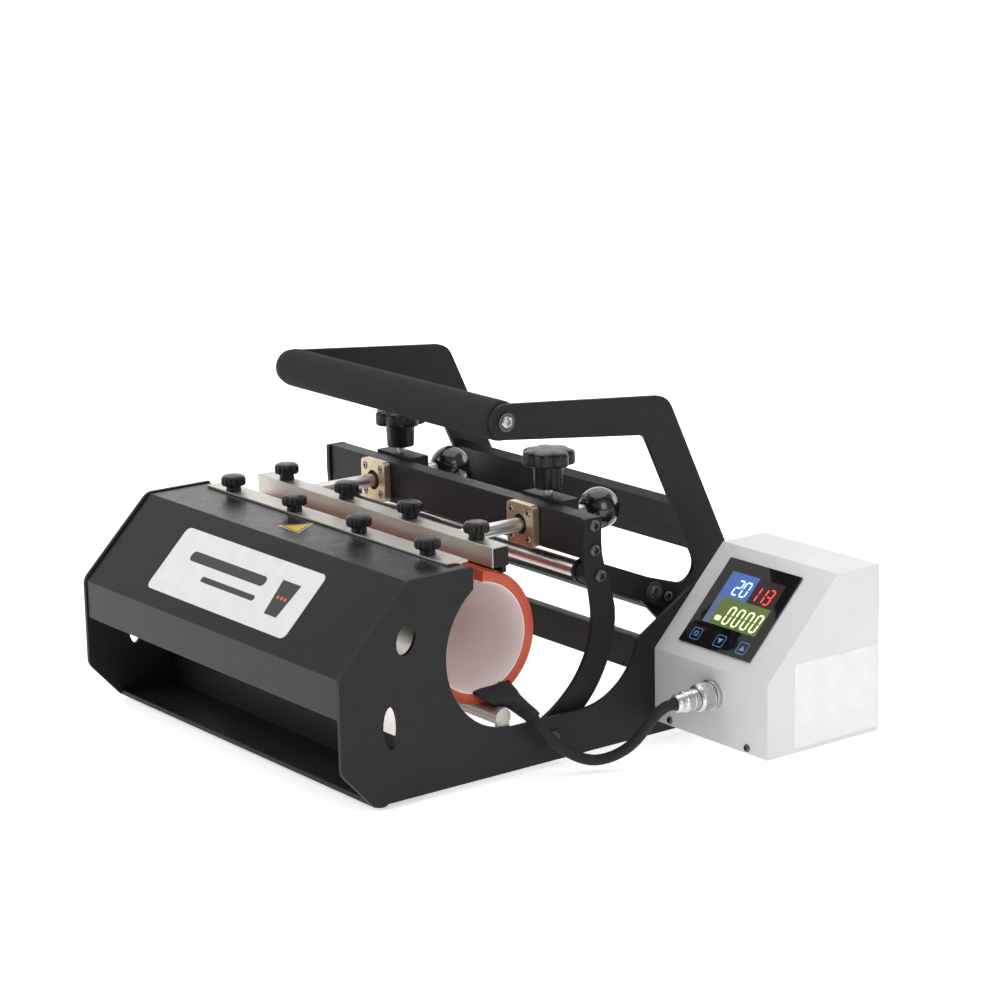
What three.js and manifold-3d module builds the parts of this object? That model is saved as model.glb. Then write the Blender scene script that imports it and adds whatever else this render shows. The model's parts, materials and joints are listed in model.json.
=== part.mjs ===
// A lever-operated heat press for tumblers and mugs.
// Millimetres. X runs along the tumbler (+X towards the control box), Y from the front casing to the
// rear, +Z up. Pieces are drawn about the axis of the heater wrap, at y = 0, and the finished group is
// moved so that its origin is at the middle of its footprint.

import * as THREE from 'three';
import { mergeVertices } from 'three/addons/utils/BufferGeometryUtils.js';
import Module from 'manifold-3d';

const wasm = await Module();
wasm.setup();

// ---- driving dimensions ----------------------------------------------------------------------

const GAP = 0.3; // left between pieces that touch
const PLATE_OUTER_X = 165; // half the width over the two side plates
const PLATE_T = 3;
const FOOT_H = 3.8; // the plates' lower edge stands this far off the table
const FRONT_Y = -129; // front edge of the side plates
const CASING_TOP_Z = 152;
const SLOPE_RISE = 56; // the casing's 45 degree slope, along Y and along Z
const CASING_REAR_Y = -20;
const SHEET_T = 1.5; // bent covers and trays
const REAR_Y = 228; // rear edge of the side plates

const WRAP_Z = 94.5; // axis of the heater wrap
const WRAP_OUTER_R = 46;
const WRAP_INNER_R = 38;
const WRAP_LENGTH = 2 * (PLATE_OUTER_X - 21.5);
const CRADLE_BOTTOM_Z = 35; // lowest edge of the side plates' wide cut

const ARM_PIVOT = [44, 20.8]; // y, z of the swing arms' pivots
const ARM_T = 3.5;
const BEAM_LENGTH = 2 * (PLATE_OUTER_X - 12.3);
const BEAM_T = 13.5;
const BEAM_H = 29;
const BEAM_FRONT_Y = 82.5;
const ROD_Z = 150.5;
const ROD_X = 89.5;
const ROD_R = 5;
const FLANGE_SIDE = 30;
const FLANGE_T = 5.5;

const LINK_PIN = [93.5, 123.8]; // y, z where the links turn on the swing arms
const CRANK_PIN = [155.5, 97.9]; // y, z where the links meet the handle
const HANDLE_PIVOT = [186, 76];
const LINK_W = 17.4;
const CROSS_SHAFT_R = 6;
const OPEN_PIVOT_CLEARANCE = 2.6; // the handle's crank pin floats this far in the links' eyes

const HANDLE_OUTER_X = PLATE_OUTER_X - 33;
const HANDLE_T = 3.5;
const GRIP = [34.5, 236]; // y, z of the grip
const GRIP_R = 14;

const CLAMP_LENGTH = 2 * (PLATE_OUTER_X - 20);
const CLAMP_FRONT_Y = 11;
const CLAMP_BOTTOM_Z = 141.2;
const CLAMP_TOP_Z = 155.5;
const CLAMP_DEPTH = 13.5;
const KNOB_R = 9;
const STUD_R = 2.5;
const FRONT_KNOB_PITCH = 80.7;
const REAR_KNOB_PITCH = 78;
const FRONT_KNOB_Y = -25;
const REAR_KNOB_Y = 18.8;

const BOX_W = 116.7;
const BOX_FRONT_Y = 134.8;
const BOX_REAR_Y = 237;
const BOX_BOTTOM_Z = 13.7;
const BOX_FOLD_Z = 66.4; // where the sloping face starts
const BOX_TOP_Z = 132.1;
const BOX_SLOPE_RUN = 63.4; // the sloping face's reach along Y
const BOX_WALL = 1.5;

const CABLE_R = 3.8;
const CABLE_ROUTE = [
  [7.4, 22.7, 40.2],
  [10.2, 24, 36.6],
  [13.2, 26.9, 31.4],
  [16.2, 31.8, 24.9],
  [19.6, 39.2, 17.6],
  [23.4, 48.6, 11.2],
  [28, 58.9, 8.2],
  [34, 69.4, 10.4],
  [41, 77.9, 17],
  [48, 83.2, 27],
  [54, 86.8, 37],
  [58.2, 89.6, 43.2],
  [60.5, 94.2, 46.5],
  [60.9, 98, 47],
  [60.9, 101, 47],
].map(([out, y, z]) => [PLATE_OUTER_X + out, y, z]); // boot to plug; x counts from the right plate
const PLUG_AXIS = [PLATE_OUTER_X + 60.9, 47]; // x, z

const FLAT_BLACK = [0x2b2b2e, 0.55, 0.4];
const SATIN_STEEL = [0xc9c6bf, 0.28, 1];
const BLACK_PLASTIC = [0x1d1e20, 0.5, 0];
const RUBBER_BLACK = [0x2a2a2c, 0.8, 0];
const PALE_GREY = [0xdcdcdc, 0.45, 0.1];

// ---- drawing helpers -------------------------------------------------------------------------

const X = new THREE.Vector3(1, 0, 0);
const Y = new THREE.Vector3(0, 1, 0);
const Z = new THREE.Vector3(0, 0, 1);
const DRAWN_IN_YZ = new THREE.Matrix4().makeBasis(Y, Z, X);
const DRAWN_IN_XZ = new THREE.Matrix4().makeBasis(X, Z, Y.clone().negate());

// Extrudes along +Z. The outline is turned anticlockwise first, so that its holes run the other way.
function extrude(shape, depth, curveSegments = 12) {
  const { shape: outline, holes } = shape.extractPoints(curveSegments);
  if (THREE.ShapeUtils.isClockWise(outline)) outline.reverse();
  const drawn = new THREE.Shape(outline);
  drawn.holes = holes.map((hole) => new THREE.Path(hole));
  return new THREE.ExtrudeGeometry(drawn, { depth, bevelEnabled: false });
}

// A plate drawn in (y, z) that fills x0..x1.
function plateX(shape, x0, x1, curveSegments) {
  return extrude(shape, x1 - x0, curveSegments).applyMatrix4(DRAWN_IN_YZ).translate(x0, 0, 0);
}

// A plate drawn in (x, z) that fills y0..y1.
function plateY(shape, y0, y1, curveSegments) {
  return extrude(shape, y1 - y0, curveSegments).applyMatrix4(DRAWN_IN_XZ).translate(0, y1, 0);
}

// A plate drawn in (x, y) that fills z0..z1.
function plateZ(shape, z0, z1, curveSegments) {
  return extrude(shape, z1 - z0, curveSegments).translate(0, 0, z0);
}

function block(x0, x1, y0, y1, z0, z1) {
  const box = new THREE.BoxGeometry(x1 - x0, y1 - y0, z1 - z0);
  return box.translate((x0 + x1) / 2, (y0 + y1) / 2, (z0 + z1) / 2);
}

// A turned piece: (radius, height) pairs about +Z.
function turned(profile, segments = 20) {
  const points = profile.map(([r, h]) => new THREE.Vector2(r, h));
  return new THREE.LatheGeometry(points, segments).rotateX(Math.PI / 2);
}

const turnedAlongX = (profile, segments) => turned(profile, segments).applyMatrix4(DRAWN_IN_YZ);
const turnedAlongY = (profile, segments) => turned(profile, segments).rotateX(-Math.PI / 2);

function pegX(r, x0, x1, [y, z], segments = 20) {
  return turnedAlongX([[0, x0], [r, x0], [r, x1], [0, x1]], segments).translate(0, y, z);
}

function pegY(r, y0, y1, x, z, segments = 20) {
  return turnedAlongY([[0, y0], [r, y0], [r, y1], [0, y1]], segments).translate(x, 0, z);
}

function pegZ(r, z0, z1, x, y, segments = 20) {
  return turned([[0, z0], [r, z0], [r, z1], [0, z1]], segments).translate(x, y, 0);
}

// A closed outline through corners [u, v, fillet].
function rounded(corners) {
  const shape = new THREE.Shape();
  corners.forEach(([u, v, fillet], i) => {
    const before = corners[(i + corners.length - 1) % corners.length];
    const after = corners[(i + 1) % corners.length];
    const corner = new THREE.Vector2(u, v);
    const start = new THREE.Vector2(before[0], before[1]).sub(corner).setLength(fillet).add(corner);
    const end = new THREE.Vector2(after[0], after[1]).sub(corner).setLength(fillet).add(corner);
    if (i === 0) shape.moveTo(start.x, start.y);
    else shape.lineTo(start.x, start.y);
    if (fillet > 0) shape.quadraticCurveTo(u, v, end.x, end.y);
  });
  shape.closePath();
  return shape;
}

function rectangle(u0, u1, v0, v1, fillet = 0) {
  return rounded([[u0, v0, fillet], [u1, v0, fillet], [u1, v1, fillet], [u0, v1, fillet]]);
}

// The outline of a strip that follows a curve, with a round end of the last half width.
function ribbon(curve, halfWidth, steps = 22) {
  const left = [];
  const right = [];
  for (let i = 0; i <= steps; i += 1) {
    const t = i / steps;
    const at = curve.getPoint(t);
    const along = curve.getTangent(t);
    const side = new THREE.Vector2(-along.y, along.x).multiplyScalar(halfWidth(t));
    left.push(at.clone().add(side));
    right.push(at.clone().sub(side));
  }
  const end = curve.getPoint(1);
  const heading = curve.getTangent(1).angle();
  const cap = [];
  for (let i = 1; i < 8; i += 1) {
    const angle = heading + Math.PI / 2 - (Math.PI * i) / 8;
    cap.push(new THREE.Vector2(Math.cos(angle), Math.sin(angle)).multiplyScalar(halfWidth(1)).add(end));
  }
  return new THREE.Shape([...left, ...cap, ...right.reverse()]);
}

// The section of a bent sheet: a polyline given thickness on its left side, mitred at the bends.
function bentSection(points, thickness) {
  const line = points.map(([u, v]) => new THREE.Vector2(u, v));
  const normals = line.slice(1).map((p, i) => {
    const along = p.clone().sub(line[i]).normalize();
    return new THREE.Vector2(-along.y, along.x);
  });
  const inner = line.map((p, i) => {
    const a = normals[Math.max(i - 1, 0)];
    const b = normals[Math.min(i, normals.length - 1)];
    const mitre = a.clone().add(b).normalize();
    return p.clone().addScaledVector(mitre, thickness / mitre.dot(a));
  });
  return new THREE.Shape([...line, ...inner.reverse()]);
}

function circleHole(shape, u, v, r) {
  const hole = new THREE.Path();
  hole.absarc(u, v, r, 0, Math.PI * 2, true);
  shape.holes.push(hole);
}

function mergedMesh(geometry) {
  const bare = geometry.index ? geometry.toNonIndexed() : geometry.clone();
  bare.deleteAttribute('normal');
  bare.deleteAttribute('uv');
  const merged = mergeVertices(bare, 1e-4);
  const triangles = [];
  const index = merged.index.array;
  for (let i = 0; i < index.length; i += 3) {
    const [a, b, c] = [index[i], index[i + 1], index[i + 2]];
    if (a !== b && b !== c && c !== a) triangles.push(a, b, c);
  }
  merged.setIndex(triangles);
  return merged;
}

function enclosedVolume(merged) {
  const corner = [new THREE.Vector3(), new THREE.Vector3(), new THREE.Vector3()];
  let sum = 0;
  for (let i = 0; i < merged.index.count; i += 3) {
    corner.forEach((v, k) => v.fromBufferAttribute(merged.attributes.position, merged.index.getX(i + k)));
    sum += corner[0].dot(corner[1].clone().cross(corner[2])) / 6;
  }
  return sum;
}

function facingOut(geometry) {
  const merged = mergedMesh(geometry);
  if (enclosedVolume(merged) < 0) merged.setIndex(Array.from(merged.index.array).reverse());
  return merged;
}

function toManifold(geometry) {
  const merged = facingOut(geometry);
  return new wasm.Manifold(new wasm.Mesh({
    numProp: 3,
    vertProperties: new Float32Array(merged.attributes.position.array),
    triVerts: new Uint32Array(merged.index.array),
  }));
}

function fromManifold(body) {
  const mesh = body.getMesh();
  const geometry = new THREE.BufferGeometry();
  geometry.setAttribute('position', new THREE.BufferAttribute(mesh.vertProperties, mesh.numProp));
  geometry.setIndex(new THREE.BufferAttribute(mesh.triVerts, 1));
  return geometry;
}

function cut(geometry, ...tools) {
  return fromManifold(tools.reduce((body, tool) => body.subtract(toManifold(tool)), toManifold(geometry)));
}

function join(...geometries) {
  return fromManifold(geometries.map(toManifold).reduce((body, other) => body.add(other)));
}

function solid(group, name, geometry, [color, roughness, metalness]) {
  const closed = facingOut(geometry);
  closed.computeVertexNormals();
  const mesh = new THREE.Mesh(closed, new THREE.MeshStandardMaterial({ color, roughness, metalness }));
  mesh.name = name;
  group.add(mesh);
  return mesh;
}

const machine = new THREE.Group();
const swingFrame = new THREE.Group();
const carriage = new THREE.Group();
const handle = new THREE.Group();
machine.add(swingFrame, handle);
swingFrame.add(carriage);

const SIDES = [['left', -1], ['right', 1]];

// x0..x1 measured outwards from the middle, on the side given by sign
function spanX(sign, x0, x1) {
  return sign > 0 ? [x0, x1] : [-x1, -x0];
}

// ---- side plates -----------------------------------------------------------------------------

// One laser-cut pattern for both sides: the front part carries the casing, a wide cut clears the
// tumbler, and the rear part rises to the handle's pivot.
function sidePlateShape() {
  const frontArc = { y: 12.3, z: CRADLE_BOTTOM_Z + 56, r: 56 };
  const rearArc = { y: 70, z: CRADLE_BOTTOM_Z + 52, r: 52 };
  const rearTop = HANDLE_PIVOT[1] + 30;
  const corner = 4;
  const shape = new THREE.Shape();
  const entry = Math.acos((CASING_REAR_Y - frontArc.y) / frontArc.r);
  shape.moveTo(CASING_REAR_Y, CASING_TOP_Z);
  shape.lineTo(CASING_REAR_Y, frontArc.z + frontArc.r * Math.sin(entry));
  shape.absarc(frontArc.y, frontArc.z, frontArc.r, entry, Math.PI * 1.5, false);
  shape.absarc(rearArc.y, rearArc.z, rearArc.r, -Math.PI / 2, THREE.MathUtils.degToRad(-13), false);
  shape.lineTo(HANDLE_PIVOT[0] - 14, rearTop);
  shape.lineTo(HANDLE_PIVOT[0] + 14, rearTop);
  shape.lineTo(REAR_Y - corner, rearTop - 24);
  shape.quadraticCurveTo(REAR_Y, rearTop - 27, REAR_Y, rearTop - 32);
  shape.lineTo(REAR_Y, FOOT_H + 18);
  shape.lineTo(REAR_Y - 18, FOOT_H);
  shape.lineTo(FRONT_Y + 25, FOOT_H);
  shape.lineTo(FRONT_Y + corner, FOOT_H + 27 - corner);
  shape.quadraticCurveTo(FRONT_Y, FOOT_H + 27, FRONT_Y, FOOT_H + 27 + corner);
  const slopeFootZ = CASING_TOP_Z - SLOPE_RISE;
  shape.lineTo(FRONT_Y, slopeFootZ - corner);
  shape.quadraticCurveTo(FRONT_Y, slopeFootZ, FRONT_Y + corner, slopeFootZ + corner);
  shape.lineTo(FRONT_Y + SLOPE_RISE - corner, CASING_TOP_Z - corner);
  shape.quadraticCurveTo(FRONT_Y + SLOPE_RISE, CASING_TOP_Z, FRONT_Y + SLOPE_RISE + corner, CASING_TOP_Z);
  shape.closePath();
  return shape;
}

function ovalHole(shape, y, z, halfWidth, halfHeight, tilt) {
  const oval = new THREE.Path();
  oval.absellipse(y, z, halfWidth, halfHeight, 0, Math.PI * 2, true, tilt);
  shape.holes.push(oval);
}

function makeSidePlates() {
  const pivotHole = 4 + GAP;
  const shaftHole = 5 + GAP;
  for (const [side, sign] of SIDES) {
    const shape = sidePlateShape();
    ovalHole(shape, FRONT_Y + 53.8, CASING_TOP_Z - 39, 7.4, 11.2, THREE.MathUtils.degToRad(-20));
    ovalHole(shape, FRONT_Y + 39.7, FOOT_H + 51.2, 5.9, 14.7, 0);
    circleHole(shape, ...ARM_PIVOT, pivotHole);
    circleHole(shape, ...HANDLE_PIVOT, shaftHole);
    const span = spanX(sign, PLATE_OUTER_X - PLATE_T, PLATE_OUTER_X);
    solid(machine, `side_plate_${side}`, plateX(shape, ...span, 10), FLAT_BLACK);
  }
}

// ---- casing, tray and bars between the plates ------------------------------------------------

const INSIDE_X = PLATE_OUTER_X - PLATE_T - GAP; // half the length of what fits between the plates

function makeCasing() {
  const lipHeight = 29;
  const inset = 1;
  const section = bentSection([
    [CASING_REAR_Y, CASING_TOP_Z - inset],
    [FRONT_Y + SLOPE_RISE + inset, CASING_TOP_Z - inset],
    [FRONT_Y + inset, CASING_TOP_Z - SLOPE_RISE - inset],
    [FRONT_Y + inset, CASING_TOP_Z - SLOPE_RISE - lipHeight],
  ], SHEET_T);
  const studHoles = frontKnobXs().map((x) => (
    pegZ(STUD_R + GAP, CASING_TOP_Z - 10, CASING_TOP_Z + 5, x, FRONT_KNOB_Y, 16)
  ));
  solid(machine, 'front_casing', cut(plateX(section, -INSIDE_X, INSIDE_X), ...studHoles), FLAT_BLACK);
}

function makeTray() {
  const lipHeight = 3.6;
  const wallHeight = 29;
  const lipY = FRONT_Y + 25;
  const wallY = FRONT_Y + 72;
  const section = bentSection([
    [lipY, FOOT_H + lipHeight],
    [lipY, FOOT_H],
    [wallY, FOOT_H],
    [wallY, FOOT_H + wallHeight],
  ], SHEET_T);
  solid(machine, 'tray', plateX(section, -INSIDE_X, INSIDE_X), FLAT_BLACK);
}

function makeCrossBars() {
  const barY = 125;
  const barT = 5;
  const bar = block(-INSIDE_X, INSIDE_X, barY, barY + barT, FOOT_H + 46, FOOT_H + 70);
  solid(machine, 'lower_cross_bar', bar, FLAT_BLACK);
  const rearY = REAR_Y - 30;
  const rearBar = block(-INSIDE_X, INSIDE_X, rearY, rearY + barT, FOOT_H + 20, FOOT_H + 38);
  solid(machine, 'rear_cross_bar', rearBar, FLAT_BLACK);
}

// Two pads under the tray, and two slotted ones pushed on to the plates' lower edges.
function makeFeet() {
  const footR = 6;
  const bottomR = 5.2;
  const grip = 5;
  const trayPad = [[0, 0], [bottomR, 0], [footR, FOOT_H - GAP], [0, FOOT_H - GAP]];
  const clipPad = [[0, 0], [bottomR, 0], [footR, FOOT_H - GAP], [footR, FOOT_H + grip], [0, FOOT_H + grip]];
  const clipX = PLATE_OUTER_X - PLATE_T / 2;
  const slot = block(clipX - PLATE_T / 2 - GAP, clipX + PLATE_T / 2 + GAP, -footR - 1, footR + 1, FOOT_H - GAP,
    FOOT_H + grip + 1).translate(-clipX, 0, 0);
  SIDES.forEach(([, sign], i) => {
    const pad = turned(trayPad, 20).translate(sign * (PLATE_OUTER_X - 10), FRONT_Y + 36, 0);
    const clip = cut(turned(clipPad, 20), slot).translate(sign * clipX, REAR_Y - 28, 0);
    solid(machine, `foot_${i + 1}`, pad, RUBBER_BLACK);
    solid(machine, `foot_${i + 3}`, clip, RUBBER_BLACK);
  });
}

// A stainless tube under the wrap, with a lug at each end that stands against the side plate.
function makeWrapSupport() {
  const tubeR = 6.2;
  const tubeY = 5;
  const tubeZ = WRAP_Z - Math.sqrt((WRAP_OUTER_R + tubeR + GAP) ** 2 - tubeY ** 2);
  const lugT = 3;
  const lugDrop = 18;
  const tube = pegX(tubeR, -INSIDE_X, INSIDE_X, [tubeY, tubeZ], 20);
  const lugs = SIDES.map(([, sign]) => (
    block(...spanX(sign, INSIDE_X - lugT, INSIDE_X), tubeY - 5, tubeY + 5, tubeZ - lugDrop, tubeZ)
  ));
  solid(machine, 'wrap_support_tube', join(tube, ...lugs), SATIN_STEEL);
}

// ---- front strip and thumb knobs -------------------------------------------------------------

function rowXs(pitch) {
  return [-1.5, -0.5, 0.5, 1.5].map((k) => k * pitch);
}

const frontKnobXs = () => rowXs(FRONT_KNOB_PITCH);
const rearKnobXs = () => rowXs(REAR_KNOB_PITCH);
const STRIP_T = 1.5;
const STRIP_TOP_Z = CASING_TOP_Z - 1 + GAP + STRIP_T;

function makeFrontStrip() {
  const shape = rectangle(-CLAMP_LENGTH / 2 - 5, CLAMP_LENGTH / 2 + 5, CASING_REAR_Y - 10, CASING_REAR_Y + 7);
  frontKnobXs().forEach((x) => circleHole(shape, x, FRONT_KNOB_Y, STUD_R + GAP));
  solid(machine, 'front_clamp_strip', plateZ(shape, STRIP_TOP_Z - STRIP_T, STRIP_TOP_Z, 8), SATIN_STEEL);
}

// A disc with shallow scallops round its edge.
function lobed(r, depth, lobes, pointsPerLobe) {
  const points = [];
  for (let i = 0; i < lobes * pointsPerLobe; i += 1) {
    const angle = (i / (lobes * pointsPerLobe)) * Math.PI * 2;
    const radius = r - depth * (0.5 - 0.5 * Math.cos(angle * lobes));
    points.push(new THREE.Vector2(radius * Math.cos(angle), radius * Math.sin(angle)));
  }
  return new THREE.Shape(points);
}

// A fluted knob with a collar and a stud that reaches down to studTipZ.
function thumbKnob(group, name, x, y, seatZ, studTipZ) {
  const collarH = 3.6;
  const capH = 8.2;
  const cap = plateZ(lobed(KNOB_R, 0.8, 14, 2), seatZ + collarH, seatZ + collarH + capH);
  const collarR = 5.5;
  const stem = turned([[0, studTipZ], [STUD_R, studTipZ], [STUD_R, seatZ], [collarR, seatZ],
    [collarR, seatZ + collarH + 2], [0, seatZ + collarH + 2]], 16);
  solid(group, name, join(cap, stem).translate(x, y, 0), BLACK_PLASTIC);
}

// ---- heater wrap -----------------------------------------------------------------------------

function makeWrap() {
  const ring = new THREE.Shape();
  ring.absarc(0, WRAP_Z, WRAP_OUTER_R, 0, Math.PI * 2, false);
  circleHole(ring, 0, WRAP_Z, WRAP_INNER_R);
  const wrap = plateX(ring, -WRAP_LENGTH / 2, WRAP_LENGTH / 2, 30);
  solid(machine, 'heater_wrap', wrap, [0xd07a66, 0.7, 0]);
}

// ---- swing frame: arms, beam, bushings, rod clamps --------------------------------------------

function swingArmShape() {
  const middle = new THREE.SplineCurve([
    [88.4, 165.6], [88.4, 140], [93.4, 118], [97.3, 97], [95, 78], [88.5, 61.5], [78, 46], [62, 31.5], ARM_PIVOT,
  ].map(([y, z]) => new THREE.Vector2(y, z)));
  const shape = ribbon(middle, (t) => 7.6 + 2.2 * THREE.MathUtils.smoothstep(t, 0.15, 0.4));
  circleHole(shape, ...ARM_PIVOT, 4 + GAP);
  circleHole(shape, ...LINK_PIN, 3.2 + GAP);
  return shape;
}

const ARM_INNER_X = BEAM_LENGTH / 2 + GAP;
const ARM_OUTER_X = ARM_INNER_X + ARM_T;

function makeSwingArms() {
  for (const [side, sign] of SIDES) {
    const arm = plateX(swingArmShape(), ...spanX(sign, ARM_INNER_X, ARM_OUTER_X));
    solid(swingFrame, `swing_arm_${side}`, arm, FLAT_BLACK);
  }
}

function makeArmPivotBolts() {
  const plateIn = PLATE_OUTER_X - PLATE_T;
  const profile = [[0, ARM_INNER_X - 5], [6.5, ARM_INNER_X - 5], [6.5, ARM_INNER_X - GAP],
    [4, ARM_INNER_X - GAP], [4, ARM_OUTER_X + GAP], [7, ARM_OUTER_X + GAP], [7, plateIn - GAP], [4, plateIn - GAP],
    [4, PLATE_OUTER_X + GAP], [5, PLATE_OUTER_X + GAP], [4.2, PLATE_OUTER_X + 2.8], [0, PLATE_OUTER_X + 3.3]];
  for (const [side, sign] of SIDES) {
    const bolt = turnedAlongX(profile.map(([r, x]) => [r, x * sign]), 14).translate(0, ...ARM_PIVOT);
    solid(machine, `arm_pivot_bolt_${side}`, bolt, SATIN_STEEL);
  }
}

const BEAM_BOTTOM_Z = ROD_Z - BEAM_H / 2 + 0.5;
const BEAM_TOP_Z = BEAM_BOTTOM_Z + BEAM_H;
const BEAM_REAR_Y = BEAM_FRONT_Y + BEAM_T;
const BUSHING_R = 8;

function makeBeam() {
  const face = rectangle(-BEAM_LENGTH / 2, BEAM_LENGTH / 2, BEAM_BOTTOM_Z, BEAM_TOP_Z);
  for (const [, sign] of SIDES) circleHole(face, sign * ROD_X, ROD_Z, BUSHING_R + GAP);
  solid(swingFrame, 'beam', plateY(face, BEAM_FRONT_Y, BEAM_REAR_Y, 12), FLAT_BLACK);
}

// Brass bushing: a square flange with four screw heads' counterbores, and a sleeve inside the beam.
function makeBushings() {
  const half = FLANGE_SIDE / 2;
  const screwAt = half - 5.5;
  const screwPlaces = [[-1, -1], [1, -1], [1, 1], [-1, 1]];
  for (const [side, sign] of SIDES) {
    const x = sign * ROD_X;
    const flange = rectangle(x - half, x + half, ROD_Z - half, ROD_Z + half, 4);
    const flangeFront = BEAM_FRONT_Y - GAP - FLANGE_T;
    const body = join(
      plateY(flange, flangeFront, BEAM_FRONT_Y - GAP, 6),
      pegY(BUSHING_R, BEAM_FRONT_Y - 2, BEAM_REAR_Y, x, ROD_Z),
    );
    const recesses = screwPlaces.map(([u, v]) => (
      pegY(2.9, flangeFront - 1, flangeFront + 2.5, x + u * screwAt, ROD_Z + v * screwAt, 14)
    ));
    const bore = pegY(ROD_R + GAP, flangeFront - 1, BEAM_REAR_Y + 1, x, ROD_Z);
    const wiperSeat = pegY(ROD_R + 2.4, flangeFront - 1, flangeFront + 3, x, ROD_Z);
    solid(swingFrame, `rod_bushing_${side}`, cut(body, bore, wiperSeat, ...recesses), [0xc9b183, 0.35, 1]);
  }
}

const CLAMP_BLOCK_DEPTH = 16;
const CLAMP_BLOCK_TOP_Z = BEAM_TOP_Z + 2;
const STUD_Y = BEAM_REAR_Y + GAP + 6.4;

function makeRodClamps() {
  const halfWidth = 22;
  for (const [side, sign] of SIDES) {
    const x = sign * ROD_X;
    const front = BEAM_REAR_Y + GAP;
    const rear = front + CLAMP_BLOCK_DEPTH;
    const body = block(x - halfWidth, x + halfWidth, front, rear, BEAM_BOTTOM_Z + 3, CLAMP_BLOCK_TOP_Z);
    const bore = pegY(ROD_R + GAP, front - 1, rear + 1, x, ROD_Z);
    const studHole = pegZ(3 + GAP, ROD_Z, CLAMP_BLOCK_TOP_Z + 1, x, STUD_Y);
    solid(swingFrame, `rod_clamp_${side}`, cut(body, bore, studHole), FLAT_BLACK);
  }
}

// Seven-lobe knob whose stud presses on the rod.
function makeStarKnobs() {
  const neckZ = BEAM_TOP_Z + 7.3;
  const capZ = neckZ + 16.5;
  const capH = 11.4;
  for (const [side, sign] of SIDES) {
    const cap = plateZ(lobed(19, 3.4, 7, 6), capZ, capZ + capH);
    const tip = ROD_Z + ROD_R + GAP;
    const stem = turned([[0, tip], [3, tip], [3, neckZ], [10, neckZ], [10.8, capZ + 2], [0, capZ + 2]], 20);
    solid(swingFrame, `star_knob_${side}`, join(cap, stem).translate(sign * ROD_X, STUD_Y, 0), BLACK_PLASTIC);
  }
}

// ---- sliding carriage: rods, clamp bar, ball knobs --------------------------------------------

const CLAMP_REAR_Y = CLAMP_FRONT_Y + CLAMP_DEPTH;
const BALL_R = 15;
const BALL_Y = 147.5;
const BALL_FACE_Y = BALL_Y - BALL_R + 1.2;

function makeGuideRods() {
  const spigotR = 3;
  const profile = [[0, CLAMP_REAR_Y - 9], [spigotR, CLAMP_REAR_Y - 9], [spigotR, CLAMP_REAR_Y + GAP],
    [ROD_R, CLAMP_REAR_Y + GAP], [ROD_R, BALL_FACE_Y - GAP], [spigotR, BALL_FACE_Y - GAP],
    [spigotR, BALL_FACE_Y + 9], [0, BALL_FACE_Y + 9]];
  for (const [side, sign] of SIDES) {
    const rod = turnedAlongY(profile).translate(sign * ROD_X, 0, ROD_Z);
    solid(carriage, `guide_rod_${side}`, rod, [0xe4e2de, 0.12, 1]);
  }
}

function makeBallKnobs() {
  const boreR = 3 + GAP;
  const boreEnd = BALL_FACE_Y + 9 + GAP;
  const faceAngle = Math.acos((BALL_FACE_Y - BALL_Y) / BALL_R);
  const profile = [[0, boreEnd], [boreR, boreEnd], [boreR, BALL_FACE_Y]];
  const steps = 9;
  for (let i = 0; i <= steps; i += 1) {
    const angle = faceAngle * (1 - i / steps);
    profile.push([i === steps ? 0 : BALL_R * Math.sin(angle), BALL_Y + BALL_R * Math.cos(angle)]);
  }
  for (const [side, sign] of SIDES) {
    const ball = turnedAlongY(profile).translate(sign * ROD_X, 0, ROD_Z);
    solid(carriage, `ball_knob_${side}`, ball, BLACK_PLASTIC);
  }
}

function makeRearClamp() {
  const angleT = 1.2;
  const half = CLAMP_LENGTH / 2;
  const barFront = CLAMP_FRONT_Y + angleT + GAP;
  const barTop = CLAMP_TOP_Z - angleT - GAP;
  const studHoleR = STUD_R + GAP;
  const section = new THREE.Shape([[barFront, CLAMP_BOTTOM_Z], [CLAMP_REAR_Y - 5.5, CLAMP_BOTTOM_Z],
    [CLAMP_REAR_Y - 5.5, CLAMP_BOTTOM_Z - 4.3], [CLAMP_REAR_Y - 2, CLAMP_BOTTOM_Z - 4.3],
    [CLAMP_REAR_Y - 2, CLAMP_BOTTOM_Z], [CLAMP_REAR_Y, CLAMP_BOTTOM_Z], [CLAMP_REAR_Y, barTop],
    [barFront, barTop]].map(([y, z]) => new THREE.Vector2(y, z)));
  const studHoles = rearKnobXs().map((x) => (
    pegZ(studHoleR, CLAMP_BOTTOM_Z + 3, CLAMP_TOP_Z + 2, x, REAR_KNOB_Y, 16)
  ));
  const spigotHoles = SIDES.map(([, sign]) => (
    pegY(3 + GAP, CLAMP_REAR_Y - 9 - GAP, CLAMP_REAR_Y + 2, sign * ROD_X, ROD_Z, 16)
  ));
  solid(carriage, 'rear_clamp_bar', cut(plateX(section, -half, half), ...studHoles, ...spigotHoles), FLAT_BLACK);
  const angleSection = bentSection([[CLAMP_REAR_Y, CLAMP_TOP_Z], [CLAMP_FRONT_Y, CLAMP_TOP_Z],
    [CLAMP_FRONT_Y, CLAMP_BOTTOM_Z]], angleT);
  solid(carriage, 'rear_clamp_angle', cut(plateX(angleSection, -half, half), ...studHoles), SATIN_STEEL);
}

// ---- links and cross shaft --------------------------------------------------------------------

const LINK_OUTER_X = HANDLE_OUTER_X + 7.5;
const LINK_T = 3.5;

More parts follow.
